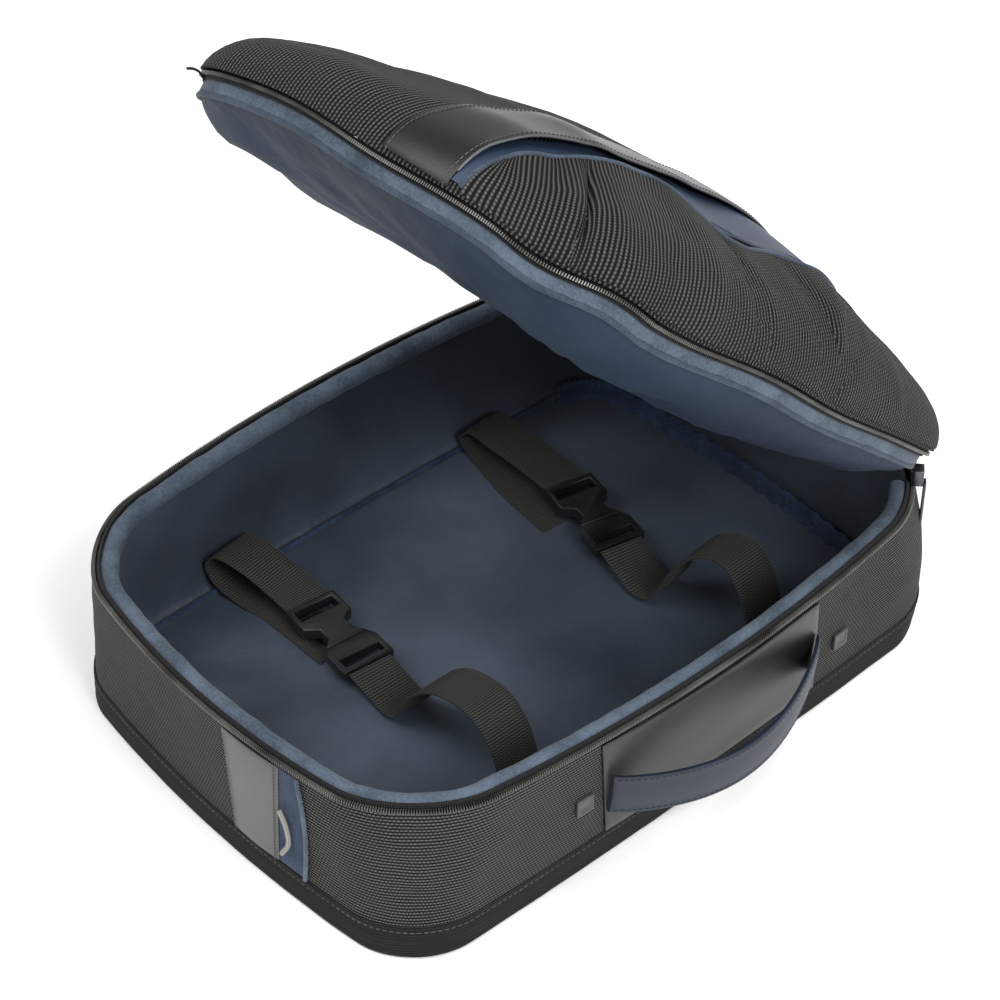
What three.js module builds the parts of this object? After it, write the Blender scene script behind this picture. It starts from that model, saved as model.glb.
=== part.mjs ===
// Convertible backpack lying on its back panel, unzipped on three sides, with its lid held open.
// Units are millimetres and +Z is up. X runs across the bag towards the long side with the handle,
// Y runs along it towards the hinge end, and the origin is the centre of the back panel's underside.
import * as THREE from 'three';

// Driving dimensions of the bag
const bagWidth = 338;
const bagLength = 460;
const rimHeight = 119;
const lidDepth = 70;
const liningDepth = 55;
const openAngle = 43.2;
const hingeReach = 20;
const lidDroop = 23;

// The bag's outline at the rim and at the base: corner radius, how far the ends and sides bow out
const rimRadius = 58;
const rimBowEnd = 24;
const rimBowSide = 22.7;
const baseFlare = 4.2;
const baseRadius = 45;
const baseBowEnd = 14.6;
const baseBowSide = 4.7;
const hingeSwell = 6.5;

// Thicknesses of the cloth, leather and webbing
const clothWall = 2.5;
const liningWall = 1.5;
const leatherWall = 1.6;
const webbingWall = 1.8;
const padThickness = 10.5;
const seam = 0.4;
const coverGap = 0.7;

// Trim sizes
const weltHeight = 27;
const weltWall = 3.8;
const bindingWidth = 9;
const bindingHeight = 12;
const tapeWidth = 7;
const tapeWall = 1;
const toothWidth = 3.2;
const toothHeight = 3;
const facingDepth = 15;
const lidBindingWidth = 5;
const pipingRadius = 2.4;
const elasticHeight = 15;

// Pieces on the outside
const bandStart = 24;
const bandEnd = 73;
const bandLength = 372;
const crestHeight = 16;
const crestMiddle = 45;
const crestReach = 50;
const patchTaper = 8;
const slitWidth = 15;
const panelStart = -90;
const panelEnd = 96;
const panelLean = 6;
const handleHeight = 34;
const handleBow = 29;
const handleSag = 9;
const handleLevel = 69;
const handleWall = 3;
const rivetSize = 13;
const rivetHeight = 3;
const rivetOffset = 15;

// Straps and buckles inside the tray
const strapWidth = 33;
const buckleWidth = 38;
const buckleLength = 45;
const buckleThickness = 9;
const catchLength = 25.6;
const buckleLevel = 26;

// Zip slider and its pull
const sliderLength = 14;
const sliderWidth = 9;
const sliderThickness = 7;
const pullLength = 38;
const pullWidth = 6.5;
const pullWall = 1.8;

// Colours, roughness and metalness of each finish
const finishes = {
  ribbedFabric: [0x3c3c3d, 0.85, 0],
  liningSatin: [0x3a4656, 0.55, 0],
  binding: [0x6f8299, 0.8, 0],
  navyFacing: [0x2f3a50, 0.75, 0],
  leather: [0x3f3f40, 0.45, 0],
  navyLeather: [0x36445c, 0.5, 0],
  webbing: [0x2e2e2c, 0.9, 0],
  zipTape: [0x222223, 0.9, 0],
  zipCoil: [0x8b8b87, 0.4, 0.3],
  acetal: [0x2f2f30, 0.4, 0],
  gunmetal: [0x3a3a3c, 0.35, 0.8],
};

// Steps along one quarter of the outline's parts, and round the whole loop
const steps = { hingeHalf: 3, corner: 5, side: 8, freeEnd: 6 };
const stationCount = 2 * steps.hingeHalf + 4 * steps.corner + 2 * steps.side + steps.freeEnd;
const farSideStart = steps.hingeHalf + steps.corner;
const freeEndStart = farSideStart + steps.side + steps.corner;
const nearSideStart = freeEndStart + steps.freeEnd + steps.corner;
const nearSideEnd = nearSideStart + steps.side;
const cornerMiddle = steps.hingeHalf + steps.corner / 2;
const cornerSpread = 2;
// The zip runs from far hinge corner to near hinge corner by way of the free end
const zipReach = 2.45;
const zipStart = farSideStart - zipReach;
const zipEnd = nearSideEnd + zipReach;

const bag = new THREE.Group();
const lid = new THREE.Group();
const hingeY = bagLength / 2 + hingeReach;
lid.position.set(0, hingeY, rimHeight);
lid.rotation.x = -THREE.MathUtils.degToRad(openAngle);
bag.add(lid);

// Small arithmetic helpers
const mix = THREE.MathUtils.lerp;
const clamp = THREE.MathUtils.clamp;
const range = (count) => Array.from({ length: count }, (_, index) => index);
const spread = (from, to, count) => range(count + 1).map((index) => mix(from, to, index / count));

function tableValue(rows, share) {
  // A smooth value between the rows of a table of [share, value]
  const last = rows.length - 1;
  if (share <= rows[0][0]) return rows[0][1];
  if (share >= rows[last][0]) return rows[last][1];
  const next = rows.findIndex((row) => row[0] >= share);
  const [lowShare, low] = rows[next - 1];
  const [highShare, high] = rows[next];
  return mix(low, high, THREE.MathUtils.smoothstep(share, lowShare, highShare));
}

function bisect(from, to, isBefore) {
  // The place between from and to where isBefore turns false
  let low = from;
  let high = to;
  for (let round = 0; round < 24; round += 1) {
    const middle = (low + high) / 2;
    if (isBefore(middle)) low = middle;
    else high = middle;
  }
  return (low + high) / 2;
}

// Closed bodies from rows of sections, each section a closed list of points
function loft(sections, ends) {
  const size = sections[0].length;
  const points = sections.flat().map((point) => point.clone());
  const faces = [];
  const quad = (a, b, c, d) => faces.push(a, b, c, a, c, d);
  const rows = ends === 'ring' ? sections.length : sections.length - 1;
  for (let row = 0; row < rows; row += 1) {
    const here = row * size;
    const there = ((row + 1) % sections.length) * size;
    for (let step = 0; step < size; step += 1) {
      const next = (step + 1) % size;
      quad(here + step, here + next, there + next, there + step);
    }
  }
  const lastRow = (sections.length - 1) * size;
  if (ends === 'strip') {
    // The cap joins each point of a section's outer half to its partner on the inner half
    for (let step = 0; step < size / 2 - 1; step += 1) {
      const partner = size - 1 - step;
      quad(step, partner, partner - 1, step + 1);
      quad(lastRow + step, lastRow + step + 1, lastRow + partner - 1, lastRow + partner);
    }
  }
  if (ends === 'fan') {
    // The cap is a fan round the middle of the section
    for (const [row, turn] of [[0, false], [lastRow, true]]) {
      const middle = new THREE.Vector3();
      range(size).forEach((step) => middle.addScaledVector(points[row + step], 1 / size));
      points.push(middle);
      const hub = points.length - 1;
      for (let step = 0; step < size; step += 1) {
        const next = (step + 1) % size;
        if (turn) faces.push(hub, row + step, row + next);
        else faces.push(hub, row + next, row + step);
      }
    }
  }
  return facingOut(points, faces);
}

function facingOut(points, faces) {
  let volume = 0;
  for (let index = 0; index < faces.length; index += 3) {
    const [a, b, c] = [points[faces[index]], points[faces[index + 1]], points[faces[index + 2]]];
    volume += a.dot(b.clone().cross(c));
  }
  if (volume < 0) faces.reverse();
  const geometry = new THREE.BufferGeometry();
  geometry.setFromPoints(points);
  geometry.setIndex(faces);
  geometry.computeVertexNormals();
  return geometry;
}

function slab(outerRows, innerRows) {
  // A sheet between two grids of points, row by row
  return loft(outerRows.map((row, index) => [...row, ...innerRows[index].slice().reverse()]), 'strip');
}

function add(parent, name, geometry, finish) {
  const [color, roughness, metalness] = finishes[finish];
  const mesh = new THREE.Mesh(geometry, new THREE.MeshStandardMaterial({ color, roughness, metalness }));
  mesh.name = name;
  parent.add(mesh);
  return mesh;
}

// The bag's outline, counter-clockwise from the middle of the hinge end
const rimShape = {
  halfWidth: bagWidth / 2,
  halfLength: bagLength / 2,
  radius: rimRadius,
  bowEnd: rimBowEnd,
  bowSide: rimBowSide,
};
const baseShape = {
  halfWidth: bagWidth / 2 + baseFlare,
  halfLength: bagLength / 2 + baseFlare,
  radius: baseRadius,
  bowEnd: baseBowEnd,
  bowSide: baseBowSide,
};

function outlinePoint(shape, station) {
  const { halfWidth: a, halfLength: b, radius: r } = shape;
  const arc = (x, y, degrees) => {
    const turn = THREE.MathUtils.degToRad(degrees);
    return [x + r * Math.cos(turn), y + r * Math.sin(turn)];
  };
  const legs = [
    [steps.hingeHalf, (t) => [-(a - r) * t, b]],
    [steps.corner, (t) => arc(r - a, b - r, 90 + 90 * t)],
    [steps.side, (t) => [-a, (b - r) * (1 - 2 * t)]],
    [steps.corner, (t) => arc(r - a, r - b, 180 + 90 * t)],
    [steps.freeEnd, (t) => [(a - r) * (2 * t - 1), -b]],
    [steps.corner, (t) => arc(a - r, r - b, 270 + 90 * t)],
    [steps.side, (t) => [a, (b - r) * (2 * t - 1)]],
    [steps.corner, (t) => arc(a - r, b - r, 90 * t)],
    [steps.hingeHalf, (t) => [(a - r) * (1 - t), b]],
  ];
  let left = ((station % stationCount) + stationCount) % stationCount;
  for (const [length, leg] of legs) {
    if (left <= length) {
      const [x, y] = leg(left / length);
      return bowed(shape, x, y);
    }
    left -= length;
  }
  return bowed(shape, 0, b);
}

function bowed({ halfWidth: a, halfLength: b, bowEnd, bowSide }, x, y) {
  const bowX = 1 + (bowSide / a) * (1 - (y / b) ** 2);
  const bowY = 1 + (bowEnd / b) * (1 - (x / a) ** 2);
  return new THREE.Vector3(x * bowX, y * bowY, 0);
}

function outlineNormal(shape, station) {
  const stride = 0.05;
  const along = outlinePoint(shape, station + stride).sub(outlinePoint(shape, station - stride));
  return new THREE.Vector3(along.y, -along.x, 0).normalize();
}

// The tray's wall: base outline at the floor, rim outline at the rim
function trayPoint(station, z, inset) {
  const share = clamp(z / rimHeight, 0, 1.1);
  const point = outlinePoint(baseShape, station).lerp(outlinePoint(rimShape, station), share);
  const normal = outlineNormal(baseShape, station).lerp(outlineNormal(rimShape, station), share);
  const toHinge = Math.min(station, stationCount - station);
  const corner = Math.exp(-(((toHinge - cornerMiddle) / cornerSpread) ** 2));
  const swell = hingeSwell * corner * Math.sin(clamp(share, 0, 1) * Math.PI);
  point.addScaledVector(normal.normalize(), swell - inset);
  point.z = z;
  return point;
}

function wallShape(z) {
  const share = z / rimHeight;
  const keys = Object.keys(rimShape);
  return Object.fromEntries(keys.map((key) => [key, mix(baseShape[key], rimShape[key], share)]));
}

function endWallPoint(x, z, inset) {
  // A point on the free end's wall, straight across the bag at x
  const { halfWidth, halfLength, bowEnd } = wallShape(z);
  const y = -(halfLength + bowEnd * (1 - (x / halfWidth) ** 2)) + inset;
  return new THREE.Vector3(x, y, z);
}

function sideWallPoint(y, z, inset) {
  // A point on the long wall with the handle, straight along the bag at y
  const { halfWidth, halfLength, bowSide } = wallShape(z);
  const x = halfWidth + bowSide * (1 - (y / halfLength) ** 2) - inset;
  return new THREE.Vector3(x, y, z);
}

function facetPoint(station, z, inset) {
  // A point on the flat facet between two whole stations
  const low = Math.floor(station);
  return trayPoint(low, z, inset).lerp(trayPoint(low + 1, z, inset), station - low);
}

const loopStations = range(stationCount);
const zipStations = [
  zipStart,
  ...loopStations.filter((station) => station > zipStart + 0.2 && station < zipEnd - 0.2),
  zipEnd,
];

// A ring or an open run of trim round the tray: the profile is a closed list of [inset, z]
function trayTrim(stations, profile, ends) {
  const section = (station) => profile.map(([inset, z]) => facetPoint(station, z, inset));
  return loft(stations.map(section), ends);
}

// Tray: padded back, ribbed welt, cloth wall, satin lining
const wallInset = 1;
const wallInner = wallInset + clothWall;
const wallFoot = weltHeight + seam;
const wallTop = rimHeight - 2;

const padInset = weltWall + 2 * seam;
const padEase = 1;
const padLevels = [
  [padInset + padEase, 0],
  [padInset, padEase],
  [padInset, padThickness - padEase],
  [padInset + padEase, padThickness],
];
const padRings = padLevels.map(([inset, z]) => loopStations.map((station) => trayPoint(station, z, inset)));
add(bag, 'back_panel', loft(padRings, 'fan'), 'ribbedFabric');

const weltRound = 3;
const weltProfile = [
  [0, weltRound],
  [0, weltHeight - 1],
  [wallInset, weltHeight],
  [weltWall, weltHeight],
  [weltWall, 0],
  [weltRound - 1, 0],
];
add(bag, 'base_welt', trayTrim(loopStations, weltProfile, 'ring'), 'ribbedFabric');

const wallProfile = [
  [wallInset, wallFoot],
  [wallInset, wallTop],
  [wallInner, wallTop],
  [wallInner, wallFoot],
];
add(bag, 'tray_wall', trayTrim(loopStations, wallProfile, 'ring'), 'ribbedFabric');

const tapeFoot = wallInner + 2 * seam;
const liningOuter = tapeFoot + tapeWall + seam;
const liningInner = liningOuter + liningWall;
const liningTop = rimHeight - bindingHeight - 4;
const floorUnder = padThickness + seam;
const floorLevel = floorUnder + liningWall;
const floorFillet = 6;
const floorMiddle = 60;
const liningLevels = [
  [liningOuter + floorMiddle, floorUnder],
  [liningOuter + floorFillet, floorUnder],
  [liningOuter, floorUnder + floorFillet],
  [liningOuter, liningTop],
  [liningInner, liningTop],
  [liningInner, floorLevel + floorFillet],
  [liningInner + floorFillet, floorLevel],
  [liningInner + floorMiddle, floorLevel],
];
const liningRings = liningLevels.map(([inset, z]) =>
  loopStations.map((station) => trayPoint(station, z, inset)));
add(bag, 'tray_lining', loft(liningRings, 'fan'), 'liningSatin');

// Piping over the seam between floor and wall
const pipingInset = liningInner + floorFillet + pipingRadius;
const pipingLevel = floorLevel + seam + pipingRadius;
const pipingProfile = range(5).map((index) => {
  const turn = (index / 5) * 2 * Math.PI;
  return [pipingInset + pipingRadius * Math.cos(turn), pipingLevel + pipingRadius * Math.sin(turn)];
});
add(bag, 'floor_piping', trayTrim(loopStations, pipingProfile, 'ring'), 'binding');

// Rim trim: coil, tape and rolled binding
const toothProfile = [
  [wallInset - seam, rimHeight - toothHeight / 2],
  [wallInset - seam, rimHeight + toothHeight / 2],
  [wallInset - seam + toothWidth, rimHeight + toothHeight / 2],
  [wallInset - seam + toothWidth, rimHeight - toothHeight / 2],
];
add(bag, 'tray_zip_coil', trayTrim(zipStations, toothProfile, 'strip'), 'zipCoil');

const tapeRise = 4;
const tapeBack = tapeFoot + 3;
const tapeProfile = [
  [tapeFoot, rimHeight - tapeWidth],
  [tapeFoot, rimHeight],
  [tapeBack, rimHeight + tapeRise],
  [tapeBack + tapeWall, rimHeight + tapeRise],
  [tapeFoot + tapeWall, rimHeight],
  [tapeFoot + tapeWall, rimHeight - tapeWidth],
];
add(bag, 'tray_zip_tape', trayTrim(zipStations, tapeProfile, 'strip'), 'zipTape');

const rollOuter = tapeFoot + tapeWall + seam;
const rollBack = tapeBack + tapeWall + seam;
const rollTop = rimHeight + 1;
const rollProfile = [
  [rollOuter, rollTop - bindingHeight],
  [rollOuter, rimHeight - 1],
  [rollBack, rollTop + 1],
  [rollBack + bindingWidth / 2, rollTop],
  [rollOuter + bindingWidth, rollTop - bindingHeight / 2],
  [rollOuter + bindingWidth / 2, rollTop - bindingHeight],
];
add(bag, 'tray_binding', trayTrim(zipStations, rollProfile, 'strip'), 'binding');

// Gathered elastic edge of the floor pocket, along the hinge end
const elasticInset = pipingInset + pipingRadius + 2 * seam;
const elasticWall = 2.4;
const gatherDepth = 1.6;
const elasticStations = spread(-farSideStart + 0.5, farSideStart - 0.5, 40);
const elasticRows = elasticStations.map((station, index) => {
  const gather = gatherDepth * (index % 2);
  const foot = floorLevel + seam;
  const head = foot + elasticHeight - gather;
  const front = elasticInset + elasticWall + gather;
  return [
    trayPoint(station, foot, elasticInset),
    trayPoint(station, head, elasticInset),
    trayPoint(station, head, front),
    trayPoint(station, foot, front),
  ];
});
add(bag, 'elastic_edge', loft(elasticRows, 'strip'), 'navyFacing');

// The lid's bulge: each ring is the rim's outline drawn in by its depth from the edge
const shoulder = 68;
const shoulderShare = 0.9;
const crownRows = [
  [-0.02, 0.6], [0.12, 0.6], [0.28, 0.76], [0.45, 0.985],
  [0.62, 0.84], [0.78, 0.69], [0.9, 0.62], [1.02, 0.84],
];
const saggingRows = [
  [-0.02, 0.5], [0.12, 0.66], [0.3, 0.92], [0.5, 1], [0.7, 0.92], [0.85, 0.74], [1.02, 0.36],
];
const lidLength = hingeY + bagLength / 2 + rimBowEnd;

function drawnIn(depth) {
  const share = 1 - depth / rimShape.halfWidth;
  const halfWidth = rimShape.halfWidth - depth;
  return {
    halfWidth,
    halfLength: rimShape.halfLength - depth,
    radius: Math.max(rimShape.radius - depth, Math.min(rimShape.radius, halfWidth) / 2),
    bowEnd: rimShape.bowEnd * share,
    bowSide: rimShape.bowSide * share,
  };
}

function ringDepth(x, y) {
  // How deep in from the rim's outline the ring lies that passes through x, y
  const isInside = (depth) => {
    const { halfWidth: a, halfLength: b, radius: r, bowEnd, bowSide } = drawnIn(depth);
    let flatX = x;
    let flatY = y;
    for (let round = 0; round < 3; round += 1) {
      const nearY = clamp(flatY / b, -1, 1);
      const nearX = clamp(flatX / a, -1, 1);
      flatX = x / (1 + (bowSide / a) * (1 - nearY ** 2));
      flatY = y / (1 + (bowEnd / b) * (1 - nearX ** 2));
    }
    const overX = Math.abs(flatX) - (a - r);
    const overY = Math.abs(flatY) - (b - r);
    const outside = Math.hypot(Math.max(overX, 0), Math.max(overY, 0));
    return outside + Math.min(Math.max(overX, overY), 0) < r;
  };
  return bisect(0, rimShape.halfWidth - 1, isInside);
}

function roof(depth) {
  // Share of the full height at this depth from the edge: a round shoulder, then a gentle crown
  if (depth >= shoulder) return shoulderShare + (1 - shoulderShare) * (1 - Math.exp((shoulder - depth) / 40));
  return shoulderShare * Math.sqrt(Math.max(1 - (1 - depth / shoulder) ** 2, 0));
}

function droop(x, y) {
  // The far free corner hangs lower than the near one
  const side = Math.max(-x / rimShape.halfWidth, 0);
  return -lidDroop * ((hingeY - y) / bagLength) * side ** 2;
}

function ripple(station, depth) {
  // The zip's edge waves a little along the long side with the handle
  const along = clamp((station - freeEndStart) / (nearSideEnd - freeEndStart), 0, 1);
  const wave = Math.sin(along * Math.PI) * Math.sin(along * Math.PI * 9);
  return 2 * wave * Math.exp(-depth / 12);
}

const shellFoot = 3;
const cornerTuck = 6;
function lidLocal(x, y, n) {
  // A point of the lid, its near hinge corner drawn in a little
  const fromSide = x / rimShape.halfWidth - 1;
  const fromHinge = y / rimShape.halfLength - 1;
  const tuck = cornerTuck * Math.exp(-(fromSide ** 2 + fromHinge ** 2) * 16);
  return new THREE.Vector3(x - tuck, y - hingeY, n + droop(x, y));
}

// Crest that the packed pocket raises under the leather band: place as a share of the bag's length
const crestRows = [[-0.52, 0], [-0.44, 0.65], [-0.326, 1], [-0.146, 0.55], [0.13, 0]];
const crest = (x, y) =>
  crestHeight * Math.exp(-(((x - crestMiddle) / crestReach) ** 2)) * tableValue(crestRows, y / bagLength);

function lidSurface(x, y, depth, raise = 0) {
  const share = (hingeY - y) / lidLength;
  const height = lidDepth * tableValue(crownRows, share);
  return lidLocal(x, y, shellFoot + (height - shellFoot) * roof(depth) + crest(x, y) + raise);
}

function shellPoint(station, depth, inset) {
  // A point of the lid's shell, moved in by inset square to its surface
  const turn = Math.acos(clamp(1 - depth / shoulder, 0, 1));
  const along = outlinePoint(drawnIn(depth), station);
  along.addScaledVector(outlineNormal(rimShape, station), -inset * Math.cos(turn));
  const point = lidSurface(along.x, along.y, depth, -inset * Math.sin(turn));
  point.z += ripple(station, depth);
  return point;
}

const shoulderTurns = [0, 22, 45, 68, 90];
const crownDepths = [0.48, 0.6, 0.8].map((share) => share * rimShape.halfWidth);
const ringDepths = shoulderTurns.map((degrees) => {
  const turn = THREE.MathUtils.degToRad(degrees);
  return shoulder * (1 - Math.cos(turn));
}).concat(crownDepths);

const shellRings = [
  ...ringDepths.slice().reverse().map((depth) => [depth, 0]),
  ...ringDepths.map((depth) => [depth, clothWall]),
].map(([depth, inset]) => loopStations.map((station) => shellPoint(station, depth, inset)));
add(lid, 'lid_shell', loft(shellRings, 'fan'), 'ribbedFabric');

// The lid's lining hangs towards the tray from the foot of its facing
const facingInset = 3.9;
const lidLiningInset = facingInset + liningWall + seam;

function sagPoint(station, depth, raise) {
  const along = outlinePoint(drawnIn(depth), station);
  const share = (hingeY - along.y) / lidLength;
  const deepest = liningDepth * tableValue(saggingRows, share);
  const edge = facingDepth - lidBindingWidth;
  return lidLocal(along.x, along.y, raise - edge - (deepest - edge) * roof(depth - lidLiningInset));
}

const sagShares = [0.083, 0.2, 0.4, 0.65];
const sagDepths = [lidLiningInset, ...sagShares.map((share) => share * rimShape.halfWidth)];
const sagRings = [
  ...sagDepths.slice().reverse().map((depth) => [depth, 0]),
  [lidLiningInset, facingDepth - lidBindingWidth],
  [lidLiningInset + liningWall, facingDepth - lidBindingWidth],
  ...sagDepths.map((depth) => [depth + liningWall, liningWall]),
].map(([depth, raise]) => loopStations.map((station) => sagPoint(station, depth, raise)));
add(lid, 'lid_lining', loft(sagRings, 'fan'), 'liningSatin');

// Trim along the lid's edge: the profile is a closed list of [inset, height over the zip's plane]
function lidTrim(stations, profile) {
  const section = (station) => profile.map(([inset, n]) => {
    const point = outlinePoint(rimShape, station);
    point.addScaledVector(outlineNormal(rimShape, station), -inset);
    return lidLocal(point.x, point.y, n + ripple(station, 0));
  });
  return loft(stations.map(section), 'strip');
}

const box = (insetFrom, insetTo, low, high) =>
  [[insetFrom, low], [insetFrom, high], [insetTo, high], [insetTo, low]];
const lidTapeInset = facingInset - seam - tapeWall;
add(lid, 'lid_zip_coil', lidTrim(zipStations,
  box(lidTapeInset - seam - toothWidth, lidTapeInset - seam, -toothHeight / 2, toothHeight / 2)), 'zipCoil');
add(lid, 'lid_zip_tape', lidTrim(zipStations,
  box(lidTapeInset, lidTapeInset + tapeWall, -tapeWidth, shellFoot - seam)), 'zipTape');
add(lid, 'lid_facing', lidTrim(zipStations,
  box(facingInset, facingInset + liningWall, -facingDepth, shellFoot - seam)), 'navyFacing');
add(lid, 'lid_binding', lidTrim(zipStations, [
  [facingInset - 1, -facingDepth - seam],
  [facingInset + lidBindingWidth - 1, -facingDepth - seam],
  [facingInset + lidBindingWidth / 2, -facingDepth - lidBindingWidth],
  [facingInset, -facingDepth - lidBindingWidth],
]), 'binding');

// Cloth that joins the tray's wall to the lid across the hinge end
const gussetStations = spread(zipEnd - stationCount + 0.6, zipStart - 0.6, 14);
lid.updateMatrixWorld(true);
const gussetRows = gussetStations.map((station) => {
  const foot = trayPoint(station, wallTop + seam, wallInset);
  const footIn = trayPoint(station, wallTop + seam, wallInner);
  const head = shellPoint(station, 0, 0).applyMatrix4(lid.matrixWorld);
  const headIn = shellPoint(station, 0, clothWall).applyMatrix4(lid.matrixWorld);
  const drop = new THREE.Vector3(0, -0.5, -0.5);
  return [foot, head.add(drop), headIn.add(drop), footIn];
});
add(bag, 'hinge_gusset', loft(gussetRows, 'strip'), 'ribbedFabric');

// Sheets laid over the lid: a point of its surface and the direction square to it
function squareTo(surface, u, v) {
  const stride = 0.02;
  const acrossU = surface(u + stride, v).sub(surface(u - stride, v));
  const acrossV = surface(u, v + stride).sub(surface(u, v - stride));
  const normal = acrossU.cross(acrossV).normalize();
  const middle = new THREE.Vector3(0, -lidLength / 2, 0);
  return normal.dot(surface(u, v).sub(middle)) < 0 ? normal.negate() : normal;
}

function cover(surface, us, vs, lift, wall) {
  const grid = (height) => us.map((u) => vs.map((v) => {
    const normal = squareTo(surface, u, v);
    return surface(u, v).addScaledVector(normal, lift(u, v) + height);
  }));
  return slab(grid(wall), grid(0));
}

// Leather band: from the free end's zip up over the end and along the crown
const bandWallTurns = [4, 16, 30, 46, 62, 78];
const bandWallRows = bandWallTurns.length;
const freeEndY = -(bagLength / 2 + rimBowEnd);

function bandPlace(x, along) {
  // Along counts rows: the first ones climb the free end's wall, the rest run down the crown
  const wallShare = Math.min(along / bandWallRows, 1);
  const turn = THREE.MathUtils.degToRad(mix(3, 82, wallShare));
  const depthWanted = shoulder * (1 - Math.cos(turn));
  const wallY = bisect(freeEndY, 0, (y) => ringDepth(x, y) < depthWanted || y < freeEndY + 0.1);
  const crownShare = Math.max(along - bandWallRows, 0) / bandCrownRows;
  return new THREE.Vector2(x, mix(wallY, freeEndY + bandLength, crownShare));
}
const onLid = (place) => lidSurface(place.x, place.y, ringDepth(place.x, place.y));
const bandColumn = (across) => mix(bandStart, bandEnd, across);
const bandSurface = (across, along) => onLid(bandPlace(bandColumn(across), along));
const bandCrownRows = 14;
const bandRows = range(bandWallRows + bandCrownRows + 1);
const bandColumns = [0, 0.3, 0.65, 1];
const bandUnder = 2.1;

// How far the band's edge beside the pocket stands off, at places given as shares of the bag's length
const bandLiftRows = [
  [-0.552, 0], [-0.504, 5.5], [-0.428, 8], [-0.335, 5.5], [-0.096, 5], [0.07, 1], [0.26, 0.5],
];
const bandRise = (across, along) => {
  const place = bandPlace(bandColumn(across), along);
  return bandUnder + across ** 2.5 * tableValue(bandLiftRows, place.y / bagLength);
};
add(lid, 'leather_band', cover(bandSurface, bandColumns, bandRows, bandRise, leatherWall), 'leather');

// Front pocket: a cloth panel from the near edge up to its gaping mouth beside the band. The mouth's
// rows: share of the way along, out from the band, share of the bag's length, lift off the lid
const mouthRows = [
  [0, 9, -0.504, 3.9], [0.05, 9, -0.485, 5.5], [0.12, 9, -0.426, 3.4], [0.2, 13, -0.38, 8],
  [0.27, 15, -0.335, 10], [0.34, 15, -0.261, 10.4], [0.39, 19, -0.213, 8.4], [0.42, 23, -0.196, 6.4],
  [0.455, 35, -0.172, 4.1], [0.5, 62, -0.17, 3.9], [0.55, 50, -0.067, 3.9], [0.62, 57, 0.011, 3.9],
  [0.7, 55, 0.124, 3.9], [0.85, 45, 0.278, 3.9], [1, 37, 0.374, 3.9],
];
const mouthValue = (along, column) => tableValue(mouthRows.map((row) => [row[0], row[column]]), along);
const bindRadius = 1.5;
const bindEase = 1;
const pocketStart = freeEndStart + steps.freeEnd - 0.6;
const pocketEnd = nearSideEnd + 2.2;
function pocketSurface(along, share) {
  const station = mix(pocketStart, pocketEnd, along);
  const reach = (1 - Math.cos(share * Math.PI / 2)) ** 0.9;
  const foot = outlinePoint(drawnIn(0.05), station);
  const x = mix(foot.x, bandEnd + mouthValue(along, 1), reach);
  const y = mix(foot.y, bagLength * mouthValue(along, 2), reach);
  const depth = Math.max(ringDepth(x, y), 0.05);
  const point = lidSurface(x, y, depth);
  point.z += ripple(station, depth);
  return point;
}
const foldRows = [
  [0, 0], [0.1, 0.8], [0.16, 1.6], [0.22, -1], [0.29, 1.5], [0.41, 3.2], [0.48, -0.6], [0.57, 1],
  [0.61, -0.8], [0.66, 1.2], [0.8, 0.6], [1, 0],
];
const pocketLift = (along, share) =>
  mix(bandUnder, mouthValue(along, 3), share ** 1.5)
  + tableValue(foldRows, along) * Math.sin(share * Math.PI);
const pocketAlongs = mouthRows.slice(0, -1).flatMap((row, index) =>
  [row[0], mix(row[0], mouthRows[index + 1][0], 0.5)]).concat([1]);
const pocketShares = [0.02, 0.22, 0.42, 0.6, 0.78, 1];
add(lid, 'pocket_panel',
  cover(pocketSurface, pocketAlongs, pocketShares, pocketLift, 1.6), 'ribbedFabric');

// Navy facing that shows inside the pocket's mouth, under the band's raised edge
const facingReach = 0.8;
const facingThickness = 0.5;
const facingLift = 2.3;
const facingColumns = spread(0, 1, 4);
const mouthEdge = mouthRows.map(([, out, length]) => [length, bandEnd + out - 2 * bindRadius - bindEase]);
function facingSurface(across, along) {
  const edge = tableValue(mouthEdge, bandPlace(bandEnd, along).y / bagLength);
  return onLid(bandPlace(mix(bandEnd + facingReach, edge, across), along));
}
add(lid, 'pocket_facing',
  cover(facingSurface, facingColumns, bandRows.slice(1), () => facingLift, facingThickness),
  'navyFacing');

// Bound edge of the pocket's mouth: up the end's wall, then along the crown
const mouthEdgePlaces = [0.35, 0.6, 0.8].map((share) => [0, share])
  .concat(pocketAlongs.slice(1, -1).map((along) => [along, 1]));
const mouthNormals = mouthEdgePlaces.map(([along, share]) => squareTo(pocketSurface, along, share - 0.03));
const mouthPoints = mouthEdgePlaces.map(([along, share], index) =>
  pocketSurface(along, share).addScaledVector(mouthNormals[index], pocketLift(along, share) + 0.8));
const bindSections = mouthPoints.map((point, index) => {
  const before = mouthPoints[Math.max(index - 1, 0)];
  const after = mouthPoints[Math.min(index + 1, mouthPoints.length - 1)];
  const normal = mouthNormals[index];
  const out = after.clone().sub(before).cross(normal).normalize().negate();
  const middle = point.clone().addScaledVector(out, bindRadius + bindEase);
  return range(4).map((corner) => {
    const turn = (corner / 4) * 2 * Math.PI;
    return middle.clone()
      .addScaledVector(normal, bindRadius * Math.cos(turn))
      .addScaledVector(out, bindRadius * Math.sin(turn));
  });
});
add(lid, 'pocket_binding', loft(bindSections, 'strip'), 'binding');

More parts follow.
